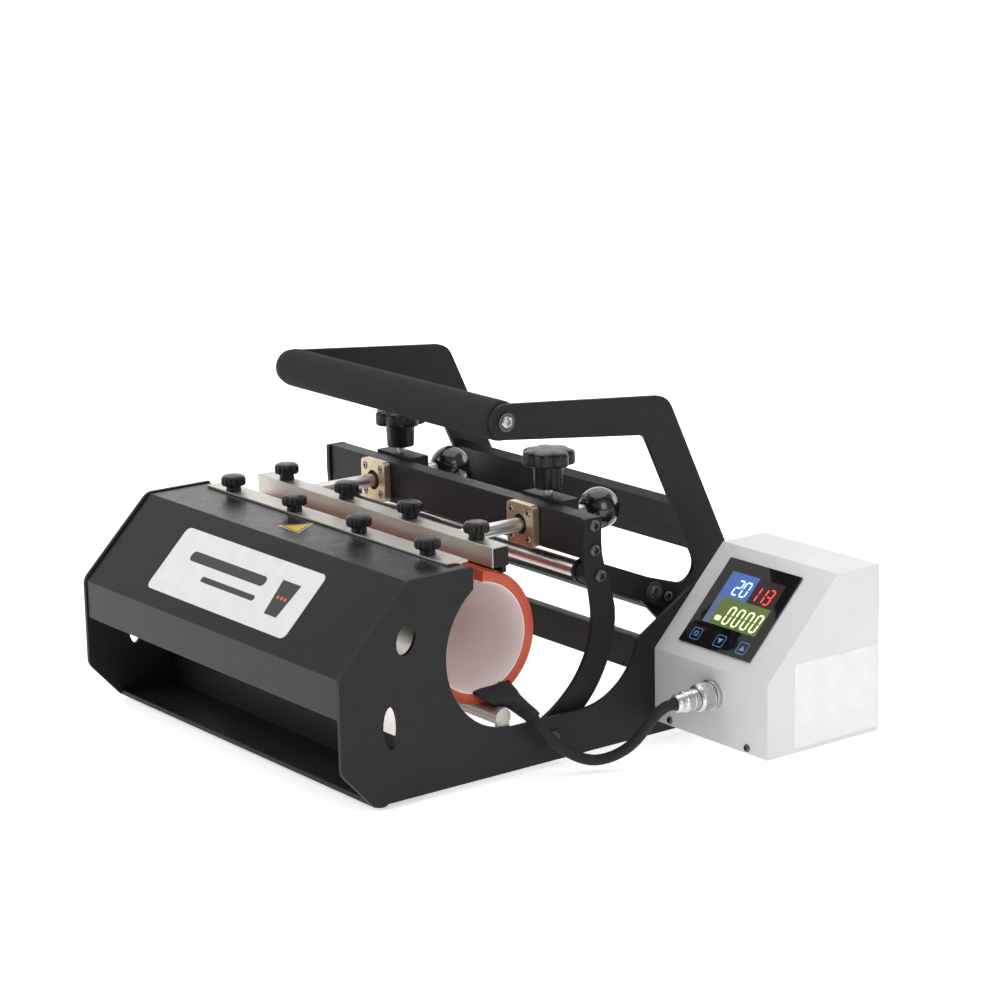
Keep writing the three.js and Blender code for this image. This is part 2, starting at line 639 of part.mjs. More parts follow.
function linkShape() {
  const [pinY, pinZ] = LINK_PIN;
  const run = [CRANK_PIN[0] - pinY, CRANK_PIN[1] - pinZ];
  const angle = Math.atan2(run[1], run[0]);
  const tailEnd = Math.hypot(...run) + 14.5;
  const r = LINK_W / 2;
  const far = [pinY + tailEnd * Math.cos(angle), pinZ + tailEnd * Math.sin(angle)];
  const shape = new THREE.Shape();
  shape.absarc(pinY, pinZ, r, angle + Math.PI / 2, angle + Math.PI * 1.5, false);
  shape.absarc(far[0], far[1], r, angle - Math.PI / 2, angle + Math.PI / 2, false);
  circleHole(shape, ...LINK_PIN, 4 + GAP);
  circleHole(shape, ...CRANK_PIN, 3 + GAP + OPEN_PIVOT_CLEARANCE);
  return shape;
}

function makeLinks() {
  for (const [side, sign] of SIDES) {
    const link = plateX(linkShape(), ...spanX(sign, LINK_OUTER_X - LINK_T, LINK_OUTER_X));
    solid(machine, `link_${side}`, link, FLAT_BLACK);
  }
  const half = [[CROSS_SHAFT_R, LINK_OUTER_X - LINK_T - GAP], [4, LINK_OUTER_X - LINK_T - GAP],
    [4, LINK_OUTER_X + GAP], [6.5, LINK_OUTER_X + GAP], [6.5, ARM_INNER_X - GAP], [3.2, ARM_INNER_X - GAP], [3.2, ARM_OUTER_X + GAP],
    [4, ARM_OUTER_X + GAP], [3.2, ARM_OUTER_X + 2.4], [0, ARM_OUTER_X + 2.8]];
  const profile = [...half.map(([r, x]) => [r, -x]).reverse(), ...half];
  solid(machine, 'cross_shaft', turnedAlongX(profile, 16).translate(0, ...LINK_PIN), [0xe4e2de, 0.15, 1]);
}

// ---- handle -----------------------------------------------------------------------------------

// A seven-shaped plate: grip at the front, a rounded bend, a leg down to the pivot, and a short
// crank forward to the links.
function handleArmShape() {
  const endR = 12.3;
  const [gripY, gripZ] = GRIP;
  const shape = new THREE.Shape();
  const tilt = THREE.MathUtils.degToRad(-5);
  shape.absarc(gripY, gripZ, endR, Math.PI / 2 + tilt, -Math.PI / 2 + tilt, false);
  shape.lineTo(150, 209.8);
  shape.quadraticCurveTo(155, 209, 157, 205);
  shape.lineTo(198.8, 115);
  shape.absarc(187.5, 109.6, 12.4, THREE.MathUtils.degToRad(25), THREE.MathUtils.degToRad(-108), true);
  shape.absarc(CRANK_PIN[0], CRANK_PIN[1], 8.6, THREE.MathUtils.degToRad(72), THREE.MathUtils.degToRad(232), false);
  shape.lineTo(HANDLE_PIVOT[0] - 9, HANDLE_PIVOT[1] - 13);
  shape.quadraticCurveTo(HANDLE_PIVOT[0] + 28, HANDLE_PIVOT[1] - 18, 226.5, 100);
  shape.quadraticCurveTo(234, 112, 228.9, 121.5);
  shape.lineTo(180.4, 225.6);
  shape.quadraticCurveTo(176.2, 234.4, 166.5, 235.6);
  shape.closePath();
  circleHole(shape, gripY, gripZ, 3);
  circleHole(shape, ...HANDLE_PIVOT, 5 + GAP);
  circleHole(shape, ...CRANK_PIN, 3 + GAP);
  return shape;
}

function makeHandle() {
  const inner = HANDLE_OUTER_X - HANDLE_T;
  for (const [side, sign] of SIDES) {
    const arm = plateX(handleArmShape(), ...spanX(sign, inner, HANDLE_OUTER_X), 10);
    solid(handle, `handle_arm_${side}`, arm, FLAT_BLACK);
    const pinProfile = [[0, inner - 3.5], [5, inner - 3.5], [5, inner - GAP], [3, inner - GAP],
      [3, LINK_OUTER_X + GAP], [7.4, LINK_OUTER_X + GAP], [7.4, LINK_OUTER_X + 1.4], [4, LINK_OUTER_X + 1.4],
      [3.2, LINK_OUTER_X + 3.4], [0, LINK_OUTER_X + 3.8]];
    const pin = turnedAlongX(pinProfile.map(([r, x]) => [r, x * sign]), 14).translate(0, ...CRANK_PIN);
    solid(handle, `crank_pin_${side}`, pin, SATIN_STEEL);
  }
  const gripHalf = inner - GAP;
  solid(handle, 'handle_grip', pegX(GRIP_R, -gripHalf, gripHalf, GRIP, 28), RUBBER_BLACK);
  const legLean = Math.atan2(228.9 - 176.2, 234.4 - 121.5);
  const bar = new THREE.BoxGeometry(2 * gripHalf, 8, 39).rotateX(legLean).translate(0, 194.8, 138.2);
  solid(handle, 'handle_cross_bar', bar, FLAT_BLACK);
}

// The handle's pivot: a shaft right across, through both side plates and both handle arms.
function makeHandlePivot() {
  const flush = PLATE_OUTER_X - GAP;
  const profile = [[0, -PLATE_OUTER_X - 3.3], [4.5, -PLATE_OUTER_X - 2.8], [6.5, -PLATE_OUTER_X - GAP],
    [5, -PLATE_OUTER_X - GAP], [5, flush], [0, flush]];
  solid(machine, 'handle_pivot_shaft', turnedAlongX(profile, 20).translate(0, ...HANDLE_PIVOT), SATIN_STEEL);
}

// ---- control box ------------------------------------------------------------------------------

const BOX_IN_X = PLATE_OUTER_X + GAP;
const BOX_OUT_X = BOX_IN_X + BOX_W;
const SLOPE_ANGLE = Math.atan2(BOX_TOP_Z - BOX_FOLD_Z, BOX_SLOPE_RUN);

function boxProfile(inset, stretch = 0) {
  const shift = inset * Math.tan(SLOPE_ANGLE / 2);
  const shiftFold = inset * Math.tan((Math.PI / 2 - SLOPE_ANGLE) / 2);
  return new THREE.Shape([
    [BOX_FRONT_Y + inset, BOX_BOTTOM_Z - stretch],
    [BOX_REAR_Y + stretch, BOX_BOTTOM_Z - stretch],
    [BOX_REAR_Y + stretch, BOX_TOP_Z - inset],
    [BOX_FRONT_Y + BOX_SLOPE_RUN + shift, BOX_TOP_Z - inset],
    [BOX_FRONT_Y + inset, BOX_FOLD_Z - shiftFold],
  ].map(([y, z]) => new THREE.Vector2(y, z)));
}

// A point on the sloping face: distance up the slope, and height above it.
function onSlope(up, above) {
  return [
    BOX_FRONT_Y + up * Math.cos(SLOPE_ANGLE) - above * Math.sin(SLOPE_ANGLE),
    BOX_FOLD_Z + up * Math.sin(SLOPE_ANGLE) + above * Math.cos(SLOPE_ANGLE),
  ];
}

const DISPLAY_X = BOX_IN_X + 54;
const DISPLAY_UP = 46;

function slopePlate(width, height, thickness, above, fillet) {
  const face = rectangle(-width / 2, width / 2, -height / 2, height / 2, fillet);
  const plate = plateZ(face, above, above + thickness, 4);
  const [y, z] = onSlope(DISPLAY_UP, 0);
  return plate.rotateX(SLOPE_ANGLE).translate(DISPLAY_X, y, z);
}

function makeControlBox() {
  const outer = plateX(boxProfile(0), BOX_IN_X, BOX_OUT_X);
  const hollow = plateX(boxProfile(BOX_WALL, 20), BOX_IN_X - 20, BOX_OUT_X - BOX_WALL);
  const window = slopePlate(66, 62, 12, -6, 1);
  const socketHole = pegY(8 + GAP, BOX_FRONT_Y - 5, BOX_FRONT_Y + 5, ...PLUG_AXIS);
  solid(machine, 'control_box_cover', cut(outer, hollow, window, socketHole), PALE_GREY);

  const fit = BOX_WALL + GAP;
  const tub = plateX(boxProfile(fit), BOX_IN_X, BOX_OUT_X - fit);
  const inside = block(BOX_IN_X + BOX_WALL, BOX_OUT_X + 20, BOX_FRONT_Y - 20, BOX_REAR_Y - BOX_WALL,
    BOX_BOTTOM_Z + BOX_WALL, BOX_TOP_Z + 20);
  const entryHalf = [25 + GAP, 13 + GAP];
  const entry = block(INLET_X - entryHalf[0], INLET_X + entryHalf[0], BOX_REAR_Y - 10, BOX_REAR_Y + 10,
    INLET_Z - entryHalf[1], INLET_Z + entryHalf[1]);
  const socketEntry = pegY(8 + GAP, BOX_FRONT_Y - 10, BOX_FRONT_Y + 10, ...PLUG_AXIS);
  solid(machine, 'control_box_chassis', cut(tub, inside, entry, socketEntry), PALE_GREY);
}

// The touch panel: a glass front, and the display module bonded behind it through the window.
function makeDisplay() {
  const panel = join(slopePlate(73, 70, 1, GAP, 1), slopePlate(62, 58, 9.5, GAP - 9, 0.5));
  solid(machine, 'display_panel', panel, [0x101012, 0.08, 0]);
}

function makeElectronics() {
  const floor = BOX_BOTTOM_Z + BOX_WALL + GAP;
  const left = BOX_IN_X + 24.7;
  const right = left + 78;
  const standoffs = [[left + 6, 152], [left + 6, 196], [right - 6, 152], [right - 6, 196]];
  const board = block(left, right, 146, 202, floor + 8, floor + 9.6);
  const posts = standoffs.map(([x, y]) => pegZ(3, floor, floor + 8.5, x, y, 10));
  const transformer = block(left + 8, left + 38, 160, 188, floor + 9, floor + 34);
  solid(machine, 'power_board', join(board, transformer, ...posts), [0x2f7a44, 0.6, 0]);
  const wall = BOX_IN_X + BOX_WALL + GAP;
  solid(machine, 'solid_state_relay', block(wall, wall + 23, 178, 223, 52, 97), [0xe8e6e0, 0.5, 0]);
}

const INLET_X = BOX_IN_X + 62;
const INLET_Z = BOX_BOTTOM_Z + 42;
const ROCKER_X = INLET_X - 14;

// Mains inlet with three blades' cavity, and the window of the power rocker beside it.
function makeMainsInlet() {
  const rearFace = BOX_REAR_Y + GAP + 2.4;
  const body = join(
    block(INLET_X - 25, INLET_X + 25, BOX_REAR_Y - 20, BOX_REAR_Y + GAP + 1, INLET_Z - 13, INLET_Z + 13),
    plateY(rectangle(INLET_X - 28, INLET_X + 28, INLET_Z - 16, INLET_Z + 16, 3), BOX_REAR_Y + GAP, rearFace, 4),
  );
  const cavity = plateY(rounded([[INLET_X - 1, INLET_Z - 8.5, 1], [INLET_X + 23, INLET_Z - 8.5, 1],
    [INLET_X + 23, INLET_Z + 4, 2], [INLET_X + 18, INLET_Z + 8.5, 1], [INLET_X + 4, INLET_Z + 8.5, 1],
    [INLET_X - 1, INLET_Z + 4, 2]]), BOX_REAR_Y - 14, rearFace + 1, 3);
  const window = block(ROCKER_X - 6.7, ROCKER_X + 6.7, rearFace - 10.5, rearFace + 1, INLET_Z - 10, INLET_Z + 10);
  solid(machine, 'mains_inlet', cut(body, cavity, window), BLACK_PLASTIC);
}

function makeRocker() {
  const off = THREE.MathUtils.degToRad(8);
  const profile = new THREE.Shape([[-5, -8.2], [1.6, -8.6], [0.2, 0], [1.6, 8.6], [-5, 8.2]]
    .map(([y, z]) => new THREE.Vector2(y, z)));
  const paddle = plateX(profile, -6.2, 6.2).rotateX(off);
  paddle.translate(ROCKER_X, BOX_REAR_Y + 1.2, INLET_Z);
  solid(machine, 'power_rocker', paddle, [0x141416, 0.4, 0]);
}

// ---- heater lead ------------------------------------------------------------------------------

const PLUG_BACK_Y = 101 + GAP;

function makeConnector() {
  const face = BOX_FRONT_Y;
  const socket = [[0, face - 12], [6.6, face - 12], [6.6, face - 3], [10.5, face - 3], [10.5, face - GAP],
    [7.8, face - GAP], [7.8, face + 8], [0, face + 8]];
  const steel = [0xd8d8d8, 0.2, 1];
  solid(machine, 'heater_socket', turnedAlongY(socket).translate(PLUG_AXIS[0], 0, PLUG_AXIS[1]), steel);
  const ring = [[6.6 + GAP, face - 14], [6.6 + GAP, face - 3.4], [9.6, face - 3.4], [9.6, face - 13],
    [8.4, face - 15], [6.9, face - 15], [6.6 + GAP, face - 14]];
  solid(machine, 'coupling_ring', turnedAlongY(ring, 28).translate(PLUG_AXIS[0], 0, PLUG_AXIS[1]), steel);
  const body = [[0, PLUG_BACK_Y], [5.2, PLUG_BACK_Y], [6.4, PLUG_BACK_Y + 2], [6.4, PLUG_BACK_Y + 6],
    [7.4, PLUG_BACK_Y + 7], [7.4, face - 15 - GAP], [6.3, face - 15 - GAP], [6.3, face - 12 - GAP], [0, face - 12 - GAP]];
  solid(machine, 'plug_body', turnedAlongY(body).translate(PLUG_AXIS[0], 0, PLUG_AXIS[1]), steel);
}

function tubeAlong(points, r, sides, steps) {
  const circle = new THREE.Shape();
  circle.absarc(0, 0, r, 0, Math.PI * 2, false);
  const curve = new THREE.CatmullRomCurve3(points.map((p) => new THREE.Vector3(...p)), false, 'centripetal');
  const settings = { steps, curveSegments: sides, bevelEnabled: false, extrudePath: curve };
  return new THREE.ExtrudeGeometry(circle, settings);
}

function makeCable() {
  solid(machine, 'heater_cable', tubeAlong(CABLE_ROUTE, CABLE_R, 4, 20), RUBBER_BLACK);
}

// A closed skin over rings of points, flat at both ends.
function lofted(rings) {
  const around = rings[0].length;
  const positions = rings.flat().flatMap((p) => p.toArray());
  const index = [];
  for (let row = 0; row + 1 < rings.length; row += 1) {
    for (let i = 0; i < around; i += 1) {
      const [a, b] = [row * around + i, row * around + ((i + 1) % around)];
      index.push(a, b, b + around, a, b + around, a + around);
    }
  }
  const last = (rings.length - 1) * around;
  for (let i = 1; i + 1 < around; i += 1) {
    index.push(0, i + 1, i);
    index.push(last, last + i, last + i + 1);
  }
  const geometry = new THREE.BufferGeometry();
  geometry.setAttribute('position', new THREE.Float32BufferAttribute(positions, 3));
  geometry.setIndex(index);
  return geometry;
}

// A rubber boot: a flat tongue bonded to the end of the wrap, narrowing to a barrel that carries the
// cable over the rim of the side plate.
function makeBoot() {
  const cableStart = new THREE.Vector3(...CABLE_ROUTE[0]);
  const heading = new THREE.Vector3(...CABLE_ROUTE[1]).sub(cableStart).normalize();
  const end = cableStart.clone().addScaledVector(heading, -GAP);
  const rows = [
    [WRAP_LENGTH / 2 + GAP, 9.5, 57.4, 16.5, 2.2],
    [PLATE_OUTER_X - 17, 12.5, 55.4, 14.5, 2.6],
    [PLATE_OUTER_X - 13, 16, 52.2, 10, 3.6],
    [PLATE_OUTER_X - 8.5, 18.6, 48.9, 6.8, 5.2],
    [PLATE_OUTER_X - 1, 20.6, 45, 5.7, 5.5],
    [PLATE_OUTER_X + 4.5, 21.7, 42.6, 5.3, 5.3],
    [...end, 5.3, 5.3],
  ]; // x, y, z, half width, half thickness
  const centres = rows.map(([x, y, z]) => new THREE.Vector3(x, y, z));
  const rings = rows.map(([, , , halfWidth, halfThickness], k) => {
    const from = centres[Math.max(k - 1, 0)];
    const to = centres[Math.min(k + 1, rows.length - 1)];
    const along = k === rows.length - 1 ? heading : to.clone().sub(from).normalize();
    if (k === 0) along.copy(X);
    const side = Y.clone().addScaledVector(along, -along.y).normalize();
    const up = along.clone().cross(side);
    return Array.from({ length: 16 }, (_, i) => {
      const angle = (i / 16) * Math.PI * 2;
      return centres[k].clone()
        .addScaledVector(side, halfWidth * Math.cos(angle))
        .addScaledVector(up, halfThickness * Math.sin(angle));
    });
  });
  solid(machine, 'cable_boot', lofted(rings), RUBBER_BLACK);
}

// ---- assembly ---------------------------------------------------------------------------------

makeSidePlates();
makeCasing();
makeTray();
makeCrossBars();
makeFeet();
makeWrapSupport();
makeFrontStrip();
frontKnobXs().forEach((x, i) => {
  thumbKnob(machine, `front_knob_${i + 1}`, x, FRONT_KNOB_Y, STRIP_TOP_Z + GAP, CASING_TOP_Z - 9);
});
makeWrap();
makeSwingArms();
makeArmPivotBolts();
makeBeam();
makeBushings();
makeRodClamps();
makeStarKnobs();
makeGuideRods();
makeBallKnobs();
makeRearClamp();
rearKnobXs().forEach((x, i) => {
  thumbKnob(carriage, `rear_knob_${i + 1}`, x, REAR_KNOB_Y, CLAMP_TOP_Z + GAP, CLAMP_BOTTOM_Z + 4);
});
makeLinks();
makeHandle();
makeHandlePivot();
makeControlBox();
makeDisplay();
makeElectronics();
makeMainsInlet();
makeRocker();
makeConnector();
makeCable();
makeBoot();

// The origin goes to the middle of the footprint of everything but the free cable and what is on it.
const ON_THE_CORD = ['heater_cable', 'plug_body', 'coupling_ring', 'cable_boot'];
const extent = new THREE.Box3();
machine.traverse((node) => {
  if (node.isMesh && !ON_THE_CORD.includes(node.name)) extent.expandByObject(node);
});
const middle = extent.getCenter(new THREE.Vector3());
machine.position.set(-middle.x, -middle.y, -extent.min.z);

export default machine;
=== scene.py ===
"""A lever-operated heat press for tumblers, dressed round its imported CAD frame."""

import json
import math

import bmesh
import bpy
from mathutils import Matrix, Vector

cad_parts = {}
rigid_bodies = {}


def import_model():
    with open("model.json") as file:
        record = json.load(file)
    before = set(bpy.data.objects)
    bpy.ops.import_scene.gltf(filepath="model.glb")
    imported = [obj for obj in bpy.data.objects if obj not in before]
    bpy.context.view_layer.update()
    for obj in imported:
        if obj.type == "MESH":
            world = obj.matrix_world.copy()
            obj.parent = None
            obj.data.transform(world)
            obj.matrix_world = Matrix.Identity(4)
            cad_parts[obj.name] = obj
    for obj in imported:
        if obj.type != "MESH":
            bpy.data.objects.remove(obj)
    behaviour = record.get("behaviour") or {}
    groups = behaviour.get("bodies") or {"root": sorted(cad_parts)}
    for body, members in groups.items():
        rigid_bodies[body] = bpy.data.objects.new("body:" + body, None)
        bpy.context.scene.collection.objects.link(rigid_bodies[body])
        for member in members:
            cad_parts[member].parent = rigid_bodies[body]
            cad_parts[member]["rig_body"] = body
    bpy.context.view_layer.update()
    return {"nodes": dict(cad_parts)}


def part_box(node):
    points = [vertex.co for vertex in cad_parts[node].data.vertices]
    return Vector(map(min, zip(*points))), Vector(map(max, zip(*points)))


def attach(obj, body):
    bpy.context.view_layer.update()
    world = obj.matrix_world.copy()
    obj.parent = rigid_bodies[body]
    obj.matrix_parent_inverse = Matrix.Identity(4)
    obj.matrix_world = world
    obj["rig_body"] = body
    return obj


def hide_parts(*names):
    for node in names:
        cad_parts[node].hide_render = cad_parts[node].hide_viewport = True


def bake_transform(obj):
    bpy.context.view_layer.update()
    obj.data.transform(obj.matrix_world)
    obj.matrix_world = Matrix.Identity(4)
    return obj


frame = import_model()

MM = 0.001

# ---- The camera ------------------------------------------------------------------------------
# A long lens a little above the machine, in front of its right end. Lengths are read from the
# middle of the heater wrap, which is also where the machine's own drawing starts.

wrap_low, wrap_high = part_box("heater_wrap")
WRAP_AXIS = (wrap_low + wrap_high) / 2
WRAP_Z = 94.5


def at(x, y, z):
    """A place in millimetres from the wrap's middle (x, y) and the table (z)."""
    return Vector((WRAP_AXIS.x + x * MM, WRAP_AXIS.y + y * MM, WRAP_AXIS.z + (z - WRAP_Z) * MM))


lens = bpy.data.cameras.new("camera")
lens.sensor_width = 36
lens.lens = 108.29
lens.shift_x = -0.0077
lens.shift_y = 0.0008
lens.clip_start = 0.05
camera = bpy.data.objects.new("camera", lens)
bpy.context.collection.objects.link(camera)
backward = Vector((0.7754, -0.5851, 0.2375)).normalized()
level = Vector((0.6022, 0.7983, 0)).normalized()
upward = backward.cross(level)
roll = math.radians(-1.10)
across = level * math.cos(roll) + upward * math.sin(roll)
upright = backward.cross(across)
turn = Matrix((across, upright, backward)).transposed().to_4x4()
camera.matrix_world = Matrix.Translation(at(1706.1, -1153.0, 663.8)) @ turn
bpy.context.scene.camera = camera

# ---- The heater lead -------------------------------------------------------------------------
# A black braided lead brings power to the wrap: it leaves the rubber boot outside the right side
# plate, dips to the table and rises to the round plug on the front of the control box.


class Wire:
    """An output of a shader node. Sums and products of wires add Math nodes."""

    def __init__(self, finish, socket):
        self.finish = finish
        self.socket = socket

    def math(self, operation, first, second):
        return self.finish.node("ShaderNodeMath", {"operation": operation}, {0: first, 1: second})

    def __add__(self, other):
        return self.math("ADD", self, other)

    def __mul__(self, other):
        return self.math("MULTIPLY", self, other)

    def __gt__(self, other):
        return self.math("GREATER_THAN", self, other)


class Finish:
    """A surface finish: one Principled shader and the nodes that feed it."""

    def __init__(self, name, color, roughness, metallic=0.0, **plain):
        self.material = bpy.data.materials.new(name)
        self.material.use_nodes = True
        self.tree = self.material.node_tree
        self.surface = self.tree.nodes["Principled BSDF"]
        self.paint(**{"Base Color": (*color, 1), "Roughness": roughness, "Metallic": metallic})
        self.paint(**{socket.replace("_", " "): value for socket, value in plain.items()})
        self.material.diffuse_color = (*color, 1)

    def feed(self, socket, value):
        if isinstance(value, Wire):
            self.tree.links.new(value.socket, socket)
        else:
            socket.default_value = value

    def paint(self, **sockets):
        for name, value in sockets.items():
            self.feed(self.surface.inputs[name], value)
        return self

    def node(self, kind, settings=None, sockets=None, out=0):
        made = self.tree.nodes.new(kind)
        for setting, value in (settings or {}).items():
            setattr(made, setting, value)
        for socket, value in (sockets or {}).items():
            self.feed(made.inputs[socket], value)
        return Wire(self, made.outputs[out])

    def place(self, size, stretch=(1, 1, 1)):
        """Object coordinates counted in grains of the given size, in millimetres."""
        own = self.node("ShaderNodeTexCoord", out=3)
        scale = [part / (size * MM) for part in stretch]
        return self.node("ShaderNodeMapping", {}, {"Vector": own, "Scale": scale})

    def noise(self, size, detail=2.0, stretch=(1, 1, 1)):
        sockets = {"Vector": self.place(size, stretch), "Scale": 1.0, "Detail": detail}
        return self.node("ShaderNodeTexNoise", {}, {**sockets, "Roughness": 0.5})

    def cells(self, size):
        return self.node("ShaderNodeTexVoronoi", {}, {"Vector": self.place(size), "Scale": 1.0})

    def weave(self, size, rough_weave=0.0):
        """Threads that cross: the product of two sets of waves, each as wide as size."""
        threads = []
        for direction in ("X", "DIAGONAL"):
            settings = {"bands_direction": direction}
            sockets = {"Vector": self.place(size * 4), "Scale": 1.0, "Distortion": rough_weave}
            threads.append(self.node("ShaderNodeTexWave", settings, sockets, out=1))
        return threads[0] * threads[1]

    def ramp(self, value, low, high, low_value=0.0, high_value=1.0):
        sockets = {"Value": value, "From Min": low, "From Max": high}
        sockets.update({"To Min": low_value, "To Max": high_value})
        return self.node("ShaderNodeMapRange", {}, sockets)

    def tint(self, mask, color, other):
        settings = {"data_type": "RGBA"}
        return self.node("ShaderNodeMix", settings, {0: mask, 6: (*color, 1), 7: (*other, 1)}, out=2)

    def shades(self, mask, color, other):
        """A base colour that goes from one to the other with the mask."""
        return self.paint(**{"Base Color": self.tint(mask, color, other)})

    def patchy(self, size, detail, low, high):
        """Roughness that wanders between two values in patches of the given size."""
        return self.paint(Roughness=self.ramp(self.noise(size, detail), 0.3, 0.7, low, high))

    def relief(self, height, depth):
        """Bump whose height of 0..1 stands for a depth in millimetres."""
        sockets = {"Height": height, "Distance": depth * MM, "Strength": 1.0}
        return self.paint(Normal=self.node("ShaderNodeBump", {}, sockets))


def add(name, mesh, finish, body, stands_for=()):
    """A new piece with its finish, riding on a body, in place of the CAD nodes it stands for."""
    piece = bpy.data.objects.new(name, mesh)
    bpy.context.collection.objects.link(piece)
    piece.data.materials.append(finish.material)
    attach(piece, body)
    if stands_for:
        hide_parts(*stands_for)
    return piece


CABLE_DIAMETER = 7.6
CABLE_ROUTE = [
    (172.4, 22.7, 40.2), (175.2, 24, 36.6), (178.2, 26.9, 31.4), (181.2, 31.8, 24.9),
    (184.6, 39.2, 17.6), (188.4, 48.6, 11.2), (193, 58.9, 8.2), (199, 69.4, 10.4), (206, 77.9, 17),
    (213, 83.2, 27), (219, 86.8, 37), (223.2, 89.6, 43.2), (225.5, 94.2, 46.5), (225.9, 98, 47),
    (225.9, 101, 47),
]
braid = Finish("braided_sleeve", (0.014, 0.014, 0.015), 0.62, Specular_IOR_Level=0.3)
threads = braid.weave(0.55, 0.6)
braid.shades(threads, (0.006, 0.006, 0.007), (0.024, 0.024, 0.027))
braid.relief(threads, 0.18)


def smooth_route(points, steps):
    """Points on the centripetal curve through the given ones, the same count in every stretch."""
    knots = [Vector(p) for p in points]
    knots = [knots[0] * 2 - knots[1], *knots, knots[-1] * 2 - knots[-2]]
    route = []
    for k in range(1, len(knots) - 2):
        p = knots[k - 1 : k + 3]
        t = [0.0]
        for a, b in zip(p, p[1:]):
            t.append(t[-1] + max((b - a).length, 1e-6) ** 0.5)
        for step in range(steps):
            s = t[1] + (t[2] - t[1]) * step / steps
            a = [p[i].lerp(p[i + 1], (s - t[i]) / (t[i + 1] - t[i])) for i in range(3)]
            b = [a[i].lerp(a[i + 1], (s - t[i]) / (t[i + 2] - t[i])) for i in range(2)]
            route.append(b[0].lerp(b[1], (s - t[1]) / (t[2] - t[1])))
    route.append(knots[-2])
    return route


cable_line = [at(*point) for point in smooth_route(CABLE_ROUTE, 3)]
cable_curve = bpy.data.curves.new("heater_lead", "CURVE")
cable_curve.dimensions = "3D"
cable_curve.bevel_depth = CABLE_DIAMETER / 2 * MM
cable_curve.bevel_resolution = 6
cable_curve.use_fill_caps = True
strand = cable_curve.splines.new("POLY")
strand.points.add(len(cable_line) - 1)
for point, place in zip(strand.points, cable_line):
    point.co = (*place, 1)
strand.use_smooth = True
cable = add("heater_lead", cable_curve, braid, "base", ["heater_cable"])

# ---- Lead boot -------------------------------------------------------------------------------
# Moulded black rubber: a flat tongue bonded to the end of the wrap, which narrows into a hollow
# barrel that carries the lead over the rim of the side plate.


def shade(mesh, crease):
    mesh.shade_smooth()
    mesh.set_sharp_from_angle(angle=math.radians(crease))


def skin(form, rows):
    """Quads from each ring of vertices to the next, and a cap on either end."""
    for row, after in zip(rows, rows[1:]):
        for i in range(len(row)):
            j = (i + 1) % len(row)
            form.faces.new((row[i], row[j], after[j], after[i]))
    form.faces.new(reversed(rows[0]))
    form.faces.new(rows[-1])


def finished(name, form, crease=38):
    """The mesh of a form, with its faces outward and its edges sharp beyond the crease angle."""
    bmesh.ops.recalc_face_normals(form, faces=form.faces)
    mesh = bpy.data.meshes.new(name)
    form.to_mesh(mesh)
    form.free()
    if crease:
        shade(mesh, crease)
    return mesh


def lofted(name, rings, finish, body, stands_for=()):
    """A skin through rings of places, capped at its ends."""
    form = bmesh.new()
    skin(form, [[form.verts.new(place) for place in ring] for ring in rings])
    return add(name, finished(name, form), finish, body, stands_for)


rubber = Finish("black_rubber", (0.012, 0.012, 0.013), 0.6, Specular_IOR_Level=0.3)
rubber_mottle = rubber.noise(0.5, 3)
rubber.patchy(9, 2, 0.5, 0.72)
rubber.relief(rubber_mottle, 0.05)

# each row: middle of the section, half width across the tongue, half thickness
WRAP_END_X = 143.5
BOOT_SIDES = 40
BARREL_R = 5.3
boot_end = Vector(CABLE_ROUTE[0])
boot_heading = (Vector(CABLE_ROUTE[1]) - boot_end).normalized()
boot_mouth = boot_end - boot_heading * 0.3
boot_rows = [
    ((WRAP_END_X + 0.3, 9.5, 57.4), 16.5, 2.2), ((148, 12.5, 55.4), 14.5, 2.6),
    ((152, 16, 52.2), 10, 3.6), ((156.5, 18.6, 48.9), 6.8, 5.2), ((164, 20.6, 45), 5.7, 5.5),
    ((169.5, 21.7, 42.6), BARREL_R, BARREL_R), (tuple(boot_mouth), BARREL_R, BARREL_R),
]
BOOT_STEPS = 4
boot_spine = smooth_route([row[0] for row in boot_rows], BOOT_STEPS)


def boot_ring(place, along, wide, thick):
    """A section of the boot: an ellipse, which grows squarer as it flattens."""
    side = (Vector((0, 1, 0)) - along * along.y).normalized()
    other = along.cross(side)
    fuller = 1 - 0.35 * min(1.0, max(0.0, wide / thick - 1))
    ring = []
    for k in range(BOOT_SIDES):
        angle = 2 * math.pi * k / BOOT_SIDES
        u, v = math.cos(angle), math.sin(angle)
        u = math.copysign(abs(u) ** fuller, u) * wide
        v = math.copysign(abs(v) ** fuller, v) * thick
        ring.append(at(*(place + side * u + other * v)))
    return ring


boot_rings = []
last = len(boot_spine) - 1
for index, place in enumerate(boot_spine):
    stretch = min(index // BOOT_STEPS, len(boot_rows) - 2)
    share = 1.0 if index == last else (index % BOOT_STEPS) / BOOT_STEPS
    share = share * share * (3 - 2 * share) * 0.5 + share * 0.5
    _, wide_from, thick_from = boot_rows[stretch]
    _, wide_to, thick_to = boot_rows[stretch + 1]
    wide = wide_from * (1 - share) + wide_to * share
    thick = thick_from * (1 - share) + thick_to * share
    if index == 0:
        along = Vector((1, 0, 0))
    elif index == last:
        along = boot_heading
    else:
        along = boot_spine[index + 1] - boot_spine[index - 1]
    boot_rings.append(boot_ring(place, along.normalized(), wide, thick))

# the rounded lip of the barrel's mouth, and its bore
for radius, back in ((4.95, -0.12), (4.35, 0.0), (4.2, 0.5), (4.15, 3.5)):
    boot_rings.append(boot_ring(boot_mouth - boot_heading * back, boot_heading, radius, radius))
boot = lofted("lead_boot", boot_rings, rubber, "base", ["cable_boot"])

